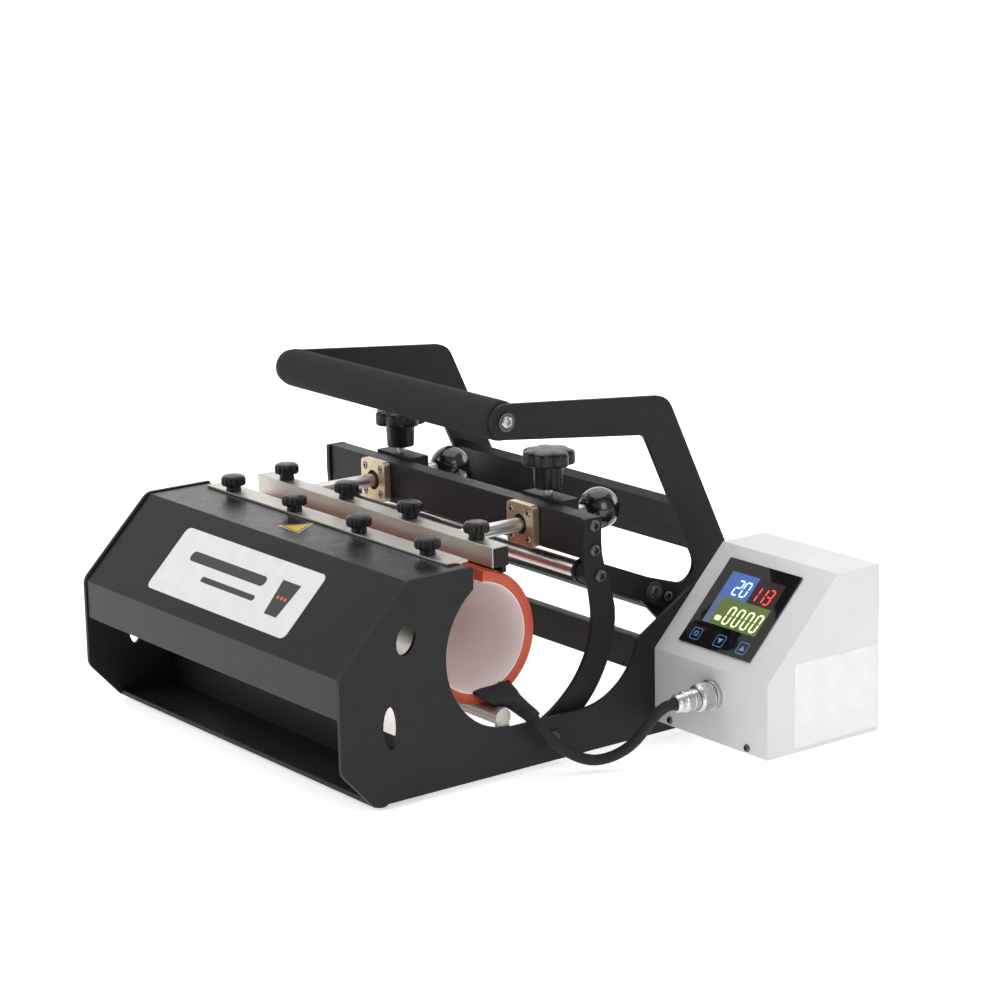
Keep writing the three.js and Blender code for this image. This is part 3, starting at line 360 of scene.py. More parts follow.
# ---- Round plug, coupling ring and panel socket ----------------------------------------------
# A 12 mm aviation connector in bright nickel: the socket is screwed into the box's front panel, and
# a knurled ring on the plug screws onto it. The lead enters the plug through a clamp nut.

AROUND = {
    "X": Matrix(((0, 0, 1), (1, 0, 0), (0, 1, 0))),
    "Y": Matrix(((0, -1, 0), (0, 0, 1), (-1, 0, 0))),
    "Z": Matrix.Identity(3),
}


def eased(profile, ease, steps=3):
    """The same (radius, height) profile with its corners rounded off."""
    points = [Vector(p) for p in profile]
    closed = profile[0] == profile[-1]
    rounded = []
    for i, corner in enumerate(points):
        if i in (0, len(points) - 1) and not closed:
            rounded.append(corner)
            continue
        if i == len(points) - 1:
            rounded.append(rounded[0].copy())
            continue
        before = points[i - 1] if i else points[-2]
        after = points[i + 1]
        reach = min(ease, (before - corner).length * 0.45, (after - corner).length * 0.45)
        start = corner + (before - corner).normalized() * reach
        end = corner + (after - corner).normalized() * reach
        for step in range(steps + 1):
            t = step / steps
            rounded.append(start.lerp(corner, t).lerp(corner.lerp(end, t), t))
    return rounded


def turned(name, profile, centre, axis, finish, body, stands_for=(), sides=64, ease=0.35,
           swell=None):
    """A piece turned on a lathe from (radius, height) pairs, about X, Y or Z through centre."""
    form = bmesh.new()
    around = AROUND[axis]
    points = eased(profile, ease)
    closed = tuple(profile[0]) == tuple(profile[-1])
    rows = []
    for radius, height in points[:-1] if closed else points:
        count = 1 if radius < 1e-6 else sides
        row = []
        for k in range(count):
            angle = 2 * math.pi * k / sides
            r = radius + swell(radius, height, angle) if swell and count > 1 else radius
            spot = around @ Vector((r * math.cos(angle), r * math.sin(angle), height))
            row.append(form.verts.new(at(*(Vector(centre) + spot))))
        rows.append(row)
    pairs = list(zip(rows, rows[1:])) + ([(rows[-1], rows[0])] if closed else [])
    for low, high in pairs:
        for k in range(sides):
            j = (k + 1) % sides
            ring = [low[k % len(low)], low[j % len(low)], high[j % len(high)], high[k % len(high)]]
            corners = list(dict.fromkeys(ring))
            if len(corners) > 2:
                form.faces.new(corners)
    return add(name, finished(name, form), finish, body, stands_for)


chrome = Finish("turned_nickel", (0.6, 0.6, 0.605), 0.26, 1.0)
chrome.patchy(3, 2, 0.22, 0.31)
chrome.relief(chrome.noise(0.25, 2, (1, 0.1, 1)), 0.001)

BOX_FRONT_Y = 134.8
PLUG = (225.9, 0, 47)


def knurl(radius, height, angle):
    on_grip = BOX_FRONT_Y - 12.6 < height < BOX_FRONT_Y - 4.2 and radius > 9
    return -0.35 * abs(math.sin(angle * 18)) if on_grip else 0


def from_front(profile):
    """(radius, distance) pairs counted from the box's front panel, backward when positive."""
    return [(radius, BOX_FRONT_Y + reach) for radius, reach in profile]


socket_profile = from_front([
    (0, -12), (6.6, -12), (6.6, -3), (10.5, -3), (10.5, -0.3), (7.8, -0.3), (7.8, 8), (0, 8),
])
turned("panel_socket", socket_profile, PLUG, "Y", chrome, "base", ["heater_socket"])
ring_profile = from_front([
    (6.9, -14), (6.9, -3.4), (9.6, -3.4), (9.6, -4.4), (9.6, -8.5), (9.6, -12.4), (9.6, -13.2),
    (8.4, -15), (6.9, -15), (6.9, -14),
])
coupling = turned("plug_ring", ring_profile, PLUG, "Y", chrome, "coupling_ring_body",
                  ["coupling_ring"], sides=144, ease=0.25, swell=knurl)
PLUG_BACK_Y = 101.3
plug_profile = [
    (0, PLUG_BACK_Y), (5.2, PLUG_BACK_Y), (6.4, PLUG_BACK_Y + 2), (6.4, PLUG_BACK_Y + 6),
    (6.9, PLUG_BACK_Y + 6.4), (7.4, PLUG_BACK_Y + 7.4),
]
plug_profile += from_front([
    (7.4, -20.6), (7.0, -20.2), (7.4, -19.8), (7.4, -15.3), (6.3, -15.3), (6.3, -12.3), (0, -12.3),
])
plug = turned("lead_plug", plug_profile, PLUG, "Y", chrome, "base", ["plug_body"])

# ---- Side plates and cross bars --------------------------------------------------------------
# Laser-cut 3 mm steel with a black powder coat, whose orange peel is about a millimetre across.
# The two plates carry everything; flat bars and bent sheets are screwed between them.


def powder_coat(name, color, roughness, peel):
    coat = Finish(name, color, roughness, Specular_IOR_Level=0.2)
    dust = coat.ramp(coat.noise(45, 3), 0.35, 0.75)
    pale = tuple(part * 1.3 + 0.001 for part in color)
    coat.shades(dust * 0.5, color, pale)
    coat.patchy(7, 2, roughness - 0.03, roughness + 0.04)
    return coat.relief(coat.noise(0.9, 0.0), peel)


def refinish(node, finish, edge=0.5, segments=3, limit=38):
    """A CAD piece keeps its solid, and gets its finish and its broken edges."""
    piece = frame["nodes"][node]
    piece.data.materials.clear()
    piece.data.materials.append(finish.material)
    piece.data.shade_smooth()
    weld = piece.modifiers.new("weld", "WELD")
    weld.merge_threshold = 1e-6
    if edge:
        bevel = piece.modifiers.new("edges", "BEVEL")
        bevel.width = edge * MM
        bevel.segments = segments
        bevel.limit_method = "ANGLE"
        bevel.angle_limit = math.radians(limit)
        bevel.harden_normals = True
        bevel.miter_outer = "MITER_ARC"
    even = piece.modifiers.new("shading", "WEIGHTED_NORMAL")
    even.weight = 100
    even.keep_sharp = True
    return piece


black_coat = powder_coat("black_powder_coat", (0.0115, 0.0115, 0.0130), 0.46, 0.03)
for node in ("side_plate_left", "side_plate_right"):
    refinish(node, black_coat, 0.45)
for node in ("lower_cross_bar", "rear_cross_bar"):
    refinish(node, black_coat, 0.35, 2)

# ---- Front casing and tray -------------------------------------------------------------------
# One bent sheet covers the front and top, with a glossier coat; a second, below it, is the open
# compartment's floor, with a low wall behind. Their folds are rounded.

gloss_coat = powder_coat("glossy_powder_coat", (0.0095, 0.0095, 0.0105), 0.3, 0.02)
refinish("front_casing", gloss_coat, 0.9, 4, 25)
refinish("tray", black_coat, 0.5, 3, 25)

# ---- Nameplate and caution sticker -----------------------------------------------------------
# Printed vinyl, stuck on: a pale nameplate on the casing's slope, with two plain bars and a cup
# shape with three coloured dots, and a small yellow triangle with no lettering on its top.


def slab(name, outline, origin, u, v, thickness, finish, body, ease=0.1):
    """A flat piece from a closed outline of (u, v) millimetres, raised along u x v."""
    normal = Vector(u).cross(Vector(v)).normalized()
    form = bmesh.new()
    levels = []
    for height, inset in ((0, 0), (thickness - ease, 0), (thickness, ease)):
        ring = []
        count = len(outline)
        for k, (a, b) in enumerate(outline):
            before, after = outline[k - 1], outline[(k + 1) % count]
            edge = Vector((after[0] - before[0], after[1] - before[1])).normalized()
            a, b = a - edge.y * inset, b + edge.x * inset
            spot = Vector(origin) + Vector(u) * a + Vector(v) * b + normal * height
            ring.append(form.verts.new(at(*spot)))
        levels.append(ring)
    skin(form, levels)
    return add(name, finished(name, form, 30), finish, body)


def rounded_rectangle(u0, u1, v0, v1, radius, steps=6):
    corners = [(u1 - radius, v0 + radius, -90), (u1 - radius, v1 - radius, 0),
               (u0 + radius, v1 - radius, 90), (u0 + radius, v0 + radius, 180)]
    outline = []
    for cu, cv, start in corners:
        for step in range(steps + 1):
            angle = math.radians(start + 90 * step / steps)
            outline.append((cu + radius * math.cos(angle), cv + radius * math.sin(angle)))
    return outline


def disc(cu, cv, radius, steps):
    angles = [k * (2 * math.pi / steps) for k in range(steps)]
    return [(cu + radius * math.cos(angle), cv + radius * math.sin(angle)) for angle in angles]


def printed(name, color, roughness=0.35):
    ink = Finish(name, color, roughness)
    fade = tuple(part * 0.93 for part in color)
    ink.shades(ink.ramp(ink.noise(12, 3), 0.3, 0.7), color, fade)
    return ink.relief(ink.noise(0.6, 2), 0.006)


vinyl = printed("pale_vinyl", (0.62, 0.62, 0.625))
dark_ink = printed("dark_ink", (0.02, 0.02, 0.022))
ACROSS = (1, 0, 0)
UP_SLOPE = (0, math.sqrt(0.5), math.sqrt(0.5))
SLOPE_FOOT = Vector((0, -128, 95))


def on_casing(up, height=0.0):
    """A place on the casing's slope, so far up it and so high above it."""
    return SLOPE_FOOT + Vector(UP_SLOPE) * up + Vector((0, -math.sqrt(0.5), math.sqrt(0.5))) * height


NAMEPLATE_UP = 38.5


def on_nameplate(name, outline, height, thickness, ink, ease):
    slab(name, outline, on_casing(NAMEPLATE_UP, height), ACROSS, UP_SLOPE, thickness, ink, "base",
         ease)


on_nameplate("nameplate", rounded_rectangle(-91, 86, -26.3, 26.3, 5), 0.02, 0.25, vinyl, 0.05)
for index, (u0, u1, v0, v1) in enumerate([(-66, 30, 3, 11), (-38, 30, -9, -4.6)]):
    bar = rounded_rectangle(u0, u1, v0, v1, (v1 - v0) / 2 - 0.1)
    on_nameplate(f"nameplate_bar_{index + 1}", bar, 0.27, 0.04, dark_ink, 0.01)
cup = [(46, 13), (68, 13), (64.5, -14), (49.5, -14)]
on_nameplate("nameplate_cup", cup, 0.27, 0.04, dark_ink, 0.01)
heat_ink = printed("heat_ink", (0.55, 0.1, 0.03))
for index in range(3):
    dot = disc(52.5 + index * 4.5, 0, 1.5, 20)
    on_nameplate(f"nameplate_heat_{index + 1}", dot, 0.31, 0.03, heat_ink, 0.01)

CASING_TOP_Z = 151
TRIANGLE = [(-17, -54), (10, -55), (-6.5, -31.5)]
TRIANGLE_MIDDLE = (-4.5, -46.8)


def on_casing_top(name, outline, height, thickness, ink, ease):
    slab(name, outline, (0, 0, CASING_TOP_Z + height), ACROSS, (0, 1, 0), thickness, ink, "base",
         ease)


def smaller_triangle(scale):
    u0, v0 = TRIANGLE_MIDDLE
    return [(u0 + (u - u0) * scale, v0 + (v - v0) * scale) for u, v in TRIANGLE]


yellow = printed("yellow_sticker", (0.62, 0.42, 0.06), 0.3)
on_casing_top("caution_triangle", TRIANGLE, 0.02, 0.12, yellow, 0.03)
border_out, border_in = smaller_triangle(0.86), smaller_triangle(0.70)
for index in range(3):
    after = (index + 1) % 3
    side = [border_out[index], border_out[after], border_in[after], border_in[index]]
    on_casing_top(f"caution_border_{index + 1}", side, 0.14, 0.03, dark_ink, 0.01)

# ---- Feet ------------------------------------------------------------------------------------
# Moulded black rubber: two buttons with a rounded rim under the tray, and two slotted pads pushed
# on to the rear corners of the side plates.

refinish("foot_3", rubber, 0.5)
refinish("foot_4", rubber, 0.5)
for number in (1, 2):
    low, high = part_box(f"foot_{number}")
    centre = (low + high) / 2
    spot = ((centre.x - WRAP_AXIS.x) / MM, (centre.y - WRAP_AXIS.y) / MM, 0)
    button = [(0, 0), (5.0, 0), (5.9, 1.6), (5.9, 3.5), (0, 3.5)]
    turned(f"rubber_foot_{number}", button, spot, "Z", rubber, "base",
           [f"foot_{number}"], sides=40, ease=0.8)

# ---- Heater wrap -----------------------------------------------------------------------------
# An orange-red silicone heater 8 mm thick, rolled into a cylinder for a tumbler of 73 mm, with a
# pale glass-cloth liner. It is slit along the top, where the clamps hold its two hems.

WRAP_OUTER, WRAP_INNER, WRAP_HALF = 46, 38, 143.5
SLIT = math.radians(5)
silicone = Finish("orange_silicone", (0.46, 0.07, 0.03), 0.55)
speckle = silicone.noise(0.7, 3)
patch = silicone.ramp(silicone.noise(24, 3), 0.3, 0.7)
silicone.shades(patch, (0.42, 0.06, 0.026), (0.50, 0.082, 0.036))
silicone.paint(Roughness=silicone.ramp(speckle, 0.3, 0.7, 0.48, 0.68))
silicone.relief(silicone.weave(0.9, 0.3) * 0.6 + speckle * 0.4, 0.1)
liner = Finish("glass_cloth_liner", (0.88, 0.76, 0.745), 0.5)
cloth = liner.weave(0.8, 0.4)
warmth = liner.ramp(liner.noise(60, 3, (0.4, 1, 1)), 0.35, 0.7)
liner.shades(warmth, (0.86, 0.73, 0.71), (0.93, 0.85, 0.84))
liner.paint(Roughness=liner.ramp(cloth, 0, 1, 0.42, 0.6))
liner.relief(cloth * 0.8 + liner.noise(14, 2, (0.3, 1, 1)) * 0.2, 0.12)


def wrap_section(x, radii, start, end, steps):
    """The section of a curved sheet at x: along its outer radius, and back along its inner."""
    outer, inner = radii
    ring = []
    for radius, first, last in ((outer, start, end), (inner, end, start)):
        for step in range(steps + 1):
            angle = first + (last - first) * step / steps
            ring.append(at(x, radius * math.cos(angle), WRAP_Z + radius * math.sin(angle)))
    return ring


def curved_sheet(name, radii, start, end, half, finish, body, stands_for=(), ease=0.8,
                 steps=72):
    """A sheet rolled about the wrap's axis; its two ends are eased."""
    outer, inner = radii
    rings = []
    xs = [(-half, ease), (-half + ease * 0.3, ease * 0.3), (-half + ease, 0)]
    xs += [(-half + ease + (2 * half - 2 * ease) * k / 14, 0) for k in range(1, 14)]
    xs += [(half - ease, 0), (half - ease * 0.3, ease * 0.3), (half, ease)]
    for x, pull in xs:
        rings.append(wrap_section(x, (outer - pull * 0.8, inner + pull * 0.8), start, end, steps))
    return lofted(name, rings, finish, body, stands_for)


top = math.radians(90)
whole_turn = 2 * math.pi
shell = curved_sheet("wrap_silicone", (WRAP_OUTER, WRAP_INNER + 0.7), top + SLIT,
                     top + whole_turn - SLIT, WRAP_HALF, silicone, "base",
                     ["heater_wrap"])
inner_cloth = curved_sheet("wrap_liner", (WRAP_INNER + 0.65, WRAP_INNER + 0.05), top + SLIT * 1.2,
                           top + whole_turn - SLIT * 1.2, WRAP_HALF - 0.6, liner, "base",
                           ease=0.15)
hem = curved_sheet("wrap_rear_hem", (WRAP_OUTER + 0.85, WRAP_OUTER + 0.1), math.radians(34),
                   math.radians(79), WRAP_HALF - 2, silicone, "arms", ease=0.2, steps=24)

for piece in (shell, inner_cloth, hem):
    world = piece.matrix_world.copy()
    piece.parent = None
    piece.matrix_world = world
    del piece["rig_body"]
for piece in (shell, inner_cloth):
    at(0, -6, WRAP_Z)
    at(0, 26, WRAP_Z)
    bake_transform(piece)
at(0, 38, 120)
at(0, 14, 139)
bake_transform(hem)

# ---- Wrap support ----------------------------------------------------------------------------
# A stainless tube under the wrap, welded to a lug at each end that is screwed to the side plate, and
# the thin stainless band that backs the fixed half of the wrap.

steel = Finish("brushed_stainless", (0.5, 0.475, 0.43), 0.42, 1.0)
streaks = steel.noise(0.35, 3, (0.012, 1, 1))
haze = steel.noise(30, 2)
steel.shades(streaks, (0.43, 0.405, 0.365), (0.57, 0.545, 0.50))
steel.paint(Roughness=steel.ramp(streaks * 0.6 + haze * 0.4, 0.35, 0.65, 0.34, 0.5))
steel.relief(streaks, 0.015)
refinish("wrap_support_tube", steel, 0.2, 2)
curved_sheet("wrap_steel_band", (WRAP_OUTER + 0.7, WRAP_OUTER + 0.1), math.radians(96),
             math.radians(252), WRAP_HALF - 5, steel, "base", ease=0.2, steps=48)

# the band's upper edge, which the front strip holds down on the casing's top
hem_path = [
    (-4.5, 140.3), (-8, 141.4), (-10.6, 144.0), (-12.2, 147.4), (-14.6, 149.4), (-18.6, 149.9),
]
hem_rings = []
for x in [-WRAP_HALF + 2 + k * (2 * WRAP_HALF - 4) / 12 for k in range(13)]:
    upper = [at(x, y, z + 0.7) for y, z in hem_path]
    lower = [at(x, y + 0.5, z - 0.5) for y, z in reversed(hem_path)]
    hem_rings.append(upper + lower)
lofted("wrap_front_hem", hem_rings, steel, "base")

# ---- Front strip and thumb knobs -------------------------------------------------------------
# A stainless strip pressed down on the wrap's front hem by four fluted plastic thumb knobs.

refinish("front_clamp_strip", steel, 0.2, 2)
moulded = Finish("moulded_plastic", (0.006, 0.006, 0.0065), 0.32, Specular_IOR_Level=0.35)
spark = moulded.noise(0.8, 3)
moulded.patchy(5, 3, 0.26, 0.42)
moulded.relief(spark, 0.02)


def flutes(count, depth, low, high, full_radius):
    """A swell for turned(): grooves between rounded ribs, on the part that is nearly full size."""

    def swell(radius, height, angle):
        if not low <= height <= high:
            return 0
        share = max(0.0, min(1.0, (radius / full_radius - 0.55) / 0.3))
        return -depth * share * (1 - abs(math.cos(angle * count / 2)))

    return swell


def seated_on(node):
    """The middle of a CAD knob, and the height of its top, in the drawing's millimetres."""
    low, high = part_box(node)
    middle = (low + high) / 2
    x, y = (middle.x - WRAP_AXIS.x) / MM, (middle.y - WRAP_AXIS.y) / MM
    return x, y, (high.z - WRAP_AXIS.z) / MM + WRAP_Z


def thumb_knob(name, node, body):
    x, y, top_z = seated_on(node)
    stud_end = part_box(node)[0].z / MM
    profile = [
        (0, stud_end), (2.5, stud_end), (2.5, top_z - 11.8), (5.6, top_z - 11.8), (5.2, top_z - 8.6),
        (5.6, top_z - 7.9), (8.5, top_z - 7.6), (9, top_z - 6.6), (9, top_z - 4.4), (9, top_z - 2.5),
        (8.6, top_z - 1.8), (7.7, top_z - 0.85), (6.2, top_z - 0.3), (3.4, top_z - 0.05), (0, top_z),
    ]
    swell = flutes(14, 1.0, top_z - 7.8, top_z - 1.9, 9)
    turned(name, profile, (x, y, 0), "Z", moulded, body, [node], sides=112, swell=swell)


for number in range(1, 5):
    thumb_knob(f"front_thumb_knob_{number}", f"front_knob_{number}", f"front_knob_{number}_body")

# ---- Swing arms and beam ---------------------------------------------------------------------
# Two curved laser-cut arms carry a solid bar between their tops; two button-head screws fix each
# arm to the bar's end. The arms turn on shoulder bolts low on the side plates.

for node in ("swing_arm_left", "swing_arm_right"):
    refinish(node, black_coat, 0.45)
refinish("beam", black_coat, 0.7)

nickel = Finish("nickel_screw", (0.42, 0.42, 0.43), 0.3, 1.0)
nickel.patchy(1.2, 3, 0.2, 0.42)
nickel.relief(nickel.noise(0.3, 2), 0.012)
black_screw = Finish("blackened_screw", (0.09, 0.09, 0.095), 0.36, 0.85)
black_screw.patchy(1.2, 3, 0.28, 0.48)
black_screw.relief(black_screw.noise(0.3, 2), 0.015)


def socket_screw(name, place, out, radius, finish, body, height=None, key=0.5):
    """A button-head screw: a domed head with a hexagonal recess, facing along out."""
    height = height or radius * 0.58
    out = Vector(out).normalized()
    side = out.orthogonal().normalized()
    other = out.cross(side)
    form = bmesh.new()
    sides = 36
    hexagon = key * radius
    levels = [(radius * 0.97, 0), (radius, height * 0.12), (radius * 0.97, height * 0.4),
              (radius * 0.86, height * 0.72), (radius * 0.7, height * 0.92),
              (hexagon * 1.12, height), (None, height), (None, height * 0.25)]
    rows = []
    for r, h in levels:
        row = []
        for k in range(sides):
            angle = 2 * math.pi * k / sides
            reach = r
            if r is None:
                from_flat = (angle % (math.pi / 3)) - math.pi / 6
                reach = hexagon * math.cos(math.pi / 6) / math.cos(from_flat)
            spot = Vector(place) + (side * math.cos(angle) + other * math.sin(angle)) * reach + out * h
            row.append(form.verts.new(at(*spot)))
        rows.append(row)
    skin(form, rows)
    return add(name, finished(name, form), finish, body)


def facing(sign, profile):
    """A profile drawn for the right side, turned over for the left one when sign is -1."""
    return [(radius, reach * sign) for radius, reach in profile]


SIDES = (("left", -1), ("right", 1))
ARM_OUTER_X = 156.5
BEAM_SCREW_Y = 89
for side, sign in SIDES:
    for number, z in enumerate((159.9, 142.6), 1):
        place = (sign * (ARM_OUTER_X + 0.02), BEAM_SCREW_Y, z)
        socket_screw(f"beam_screw_{side}_{number}", place, (sign, 0, 0), 4.4, black_screw, "arms")

# shoulder bolts on which the arms turn, with their spacers and nuts
ARM_PIVOT = (0, 44, 20.8)
bolt = [
    (0, 147.7), (6.5, 147.7), (6.5, 152.7), (4, 152.7), (4, 156.8), (7, 156.8), (7, 161.7),
    (4, 161.7), (4, 165.1), (5, 165.1), (5, 165.6), (4.7, 167.1), (3.6, 168.0), (2.2, 168.25),
    (2.1, 167.0), (0, 167.0),
]
for side, sign in SIDES:
    turned(f"arm_bolt_{side}", facing(sign, bolt), ARM_PIVOT, "X", black_screw, "base",
           [f"arm_pivot_bolt_{side}"], sides=40, ease=0.3)

# ---- Rod bushings, rod clamps and star knobs -------------------------------------------------
# Square-flanged brass bushings guide the rods through the beam, each held by four M3 screws. Behind
# the beam a steel block carries a star knob, whose stud locks the rod.

brass = Finish("machined_brass", (0.56, 0.48, 0.32), 0.4, 1.0)
cutter_marks = brass.noise(0.3, 2, (0.04, 1, 1))
tarnish = brass.ramp(brass.noise(5, 3), 0.3, 0.75)
brass.shades(tarnish, (0.51, 0.43, 0.28), (0.62, 0.54, 0.38))
brass.paint(Roughness=brass.ramp(cutter_marks, 0.3, 0.7, 0.34, 0.48))
brass.relief(cutter_marks, 0.015)
ROD_X, ROD_Z = 89.5, 150.5
FLANGE_FRONT_Y = 76.7
FLANGE_SCREW = 9.5
# a ring of black rubber in the mouth of each bushing, round the rod: painted shade, a dark ring
# standing for the shade in the bore round the rod
SHADE_RING_FRONT_Y, SHADE_RING_BACK_Y = FLANGE_FRONT_Y + 2.1, FLANGE_FRONT_Y + 2.95
shade_ring = [
    (5.35, SHADE_RING_FRONT_Y), (7.35, SHADE_RING_FRONT_Y), (7.35, SHADE_RING_BACK_Y), (5.35, SHADE_RING_BACK_Y),
    (5.35, SHADE_RING_FRONT_Y),
]
for side, sign in SIDES:
    refinish(f"rod_bushing_{side}", brass, 0.5, 3, 50)
    refinish(f"rod_clamp_{side}", black_coat, 0.7)
    for number, (u, v) in enumerate(((-1, -1), (1, -1), (1, 1), (-1, 1)), 1):
        place = (sign * ROD_X + u * FLANGE_SCREW, FLANGE_FRONT_Y + 1.9, ROD_Z + v * FLANGE_SCREW)
        socket_screw(f"bushing_screw_{side}_{number}", place, (0, -1, 0), 2.65, nickel, "arms",
                     2.6, 0.55)
    # the ring of painted shade in the bushing's mouth
    turned(f"rod_shade_ring_{side}", shade_ring, (sign * ROD_X, 0, ROD_Z), "Y", rubber, "arms",
           sides=48, ease=0.1)

STAR_Y = 102.7
for side, sign in SIDES:
    x, y, top_z = seated_on(f"star_knob_{side}")
    stud_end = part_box(f"star_knob_{side}")[0].z / MM
    seat = top_z - 27.9
    profile = [
        (0, seat), (10, seat), (10.7, seat + 16.1), (16.5, seat + 16.5), (18.4, seat + 17.1),
        (19, seat + 18.6), (19, seat + 24.6), (18.3, seat + 26.4), (16, seat + 27.3),
        (9, seat + 27.75), (0, top_z),
    ]
    swell = flutes(7, 3.0, seat + 16.3, top_z + 1, 19)
    centre, rides_on = (sign * ROD_X, STAR_Y, 0), f"star_knob_{side}_body"
    turned(f"star_knob_cap_{side}", profile, centre, "Z", moulded, rides_on,
           [f"star_knob_{side}"], sides=140, ease=0.7, swell=swell)
    stud = [(0, stud_end), (2.7, stud_end), (3, stud_end + 0.4), (3, seat + 0.2), (0, seat + 0.2)]
    turned(f"star_knob_stud_{side}", stud, centre, "Z", nickel, rides_on, sides=32,
           ease=0.15)

# ---- Guide rods, clamp bar and ball knobs ----------------------------------------------------
# Two ground steel rods, screwed into a black clamp bar at the front and phenolic ball knobs behind.
# A stainless angle is held on the bar by four thumb knobs; the wrap's rear hem goes under it.

ground = Finish("ground_rod", (0.62, 0.605, 0.58), 0.3, 1.0)
rings = ground.noise(0.4, 2, (1, 0.15, 1))
ground.paint(Roughness=ground.ramp(rings * 0.5 + ground.noise(18, 2) * 0.5, 0.35, 0.65, 0.24, 0.36))
ground.relief(rings, 0.002)
phenolic = Finish("phenolic_ball", (0.008, 0.008, 0.009), 0.16, Coat_Weight=0.5, Coat_Roughness=0.06)
phenolic.patchy(6, 3, 0.12, 0.26)
phenolic.relief(phenolic.noise(4, 2), 0.02)
BALL_Y, BALL_R = 147.5, 15
BALL_STEPS = 30
ball_face = BALL_Y - BALL_R + 1.2
rod = [
    (0, 15.5), (3, 15.5), (3, 24.8), (5, 24.8), (5, ball_face - 0.3), (3, ball_face - 0.3),
    (3, ball_face + 9), (0, ball_face + 9),
]
ball = [(0, ball_face + 9.3), (3.3, ball_face + 9.3), (3.3, ball_face), (5.2, ball_face)]
start = math.acos((ball_face - BALL_Y) / BALL_R)
for step in range(1, BALL_STEPS):
    angle = start * (1 - step / BALL_STEPS)
    reach = BALL_R + (0.05 if step == BALL_STEPS // 2 else 0)
    ball.append((reach * math.sin(angle), BALL_Y + reach * math.cos(angle)))
ball.append((0, BALL_Y + BALL_R))
for side, sign in SIDES:
    centre = (sign * ROD_X, 0, ROD_Z)
    turned(f"ground_rod_{side}", rod, centre, "Y", ground, "carriage",
           [f"guide_rod_{side}"], sides=56, ease=0.5)
    turned(f"ball_{side}", ball, centre, "Y", phenolic, "carriage",
           [f"ball_knob_{side}"], sides=72, ease=0.05)
refinish("rear_clamp_bar", black_coat, 0.4)
refinish("rear_clamp_angle", steel, 0.55, 4, 25)
for number in range(1, 5):
    thumb_knob(f"rear_thumb_knob_{number}", f"rear_knob_{number}", f"rear_knob_{number}_body")

# ---- Links and cross shaft -------------------------------------------------------------------
# A polished shaft joins the swing arms; a short steel link turns on each end of it and takes the
# pull of the handle. A stop screw stands at the links' rear ends.

for node in ("link_left", "link_right"):
    refinish(node, black_coat, 0.45)
SHAFT_Y, SHAFT_Z, SHAFT_END_X = 93.5, 123.8, 156.7
shaft = [
    (0, -SHAFT_END_X), (3.2, -SHAFT_END_X), (3.2, -152.4), (6.5, -152.4), (6.5, -139.8),
    (4, -139.8), (4, -135.7), (6, -135.7),
]
shaft += [(r, -x) for r, x in reversed(shaft)]
turned("polished_cross_shaft", shaft, (0, SHAFT_Y, SHAFT_Z), "X", ground, "links",
       ["cross_shaft"], sides=56, ease=0.3)
collar = [(6.75, 140.0), (6.75, 152.2), (7.9, 152.2), (7.9, 140.0), (6.75, 140.0)]
for side, sign in SIDES:
    turned(f"shaft_collar_{side}", facing(sign, collar), (0, SHAFT_Y, SHAFT_Z), "X", rubber,
           "links", sides=40, ease=0.4)
    shaft_end = (sign * (SHAFT_END_X + 0.02), SHAFT_Y, SHAFT_Z)
    socket_screw(f"shaft_screw_{side}", shaft_end, (sign, 0, 0), 4.6, black_screw, "links")
    link_end = (sign * 139.52, 168.6, 92.4)
    socket_screw(f"link_stop_screw_{side}", link_end, (sign, 0, 0), 3.6, black_screw, "links")

# ---- Handle ----------------------------------------------------------------------------------
# Two laser-cut arms joined by a foam-covered grip and a flat bar. The arms turn on a shaft through
# both side plates, and a pin on each drives a link.

satin_coat = powder_coat("handle_powder_coat", (0.008, 0.008, 0.009), 0.5, 0.03)
for node in ("handle_arm_left", "handle_arm_right"):
    refinish(node, satin_coat, 0.45)
refinish("handle_cross_bar", satin_coat, 0.6)
foam = Finish("foam_grip", (0.014, 0.014, 0.015), 0.85, Specular_IOR_Level=0.2)
pores = foam.cells(0.7)
open_pores = foam.ramp(pores, 0, 0.5)
foam.shades(open_pores, (0.006, 0.006, 0.0065), (0.018, 0.018, 0.019))
foam.relief(pores * 0.6 + foam.noise(2.5, 3) * 0.4, 0.22)
GRIP = (0, 34.5, 236)
grip = [(0, -128.0), (12.2, -128.0), (13.5, -127.2), (13.9, -124.0), (13.95, -60), (13.95, 0)]
grip += [(r, -x) for r, x in reversed(grip[:-1])]
sleeve = turned("foam_sleeve", grip, GRIP, "X", foam, "handle", ["handle_grip"],
                sides=56, ease=1.2)

HANDLE_OUTER_X = 132
WASHER_IN_X, WASHER_OUT_X = HANDLE_OUTER_X + 0.02, HANDLE_OUTER_X + 0.9
washer = [
    (4.7, WASHER_IN_X), (4.7, WASHER_OUT_X), (6.6, WASHER_OUT_X), (6.6, WASHER_IN_X),
    (4.7, WASHER_IN_X),
]
CRANK_PIN = (0, 155.5, 97.9)
pin = [
    (0, 125.0), (5, 125.0), (5, 128.2), (3, 128.2), (3, 139.8), (7.4, 139.8), (7.4, 140.9),
    (4.6, 140.9), (4.6, 141.6), (4.1, 142.8), (2.8, 143.2), (2.1, 143.2), (2.0, 141.9), (0, 141.9),
]
for side, sign in SIDES:
    grip_end = (sign * WASHER_IN_X, GRIP[1], GRIP[2])
    socket_screw(f"grip_screw_{side}", grip_end, (sign, 0, 0), 4.6, nickel, "handle",
                 2.7)
    turned(f"grip_washer_{side}", facing(sign, washer), GRIP, "X", black_screw, "handle",
           sides=40, ease=0.15)
    turned(f"link_pin_{side}", facing(sign, pin), CRANK_PIN, "X", black_screw, "handle",
           [f"crank_pin_{side}"], sides=40, ease=0.2)
HANDLE_PIVOT = (0, 186, 76)
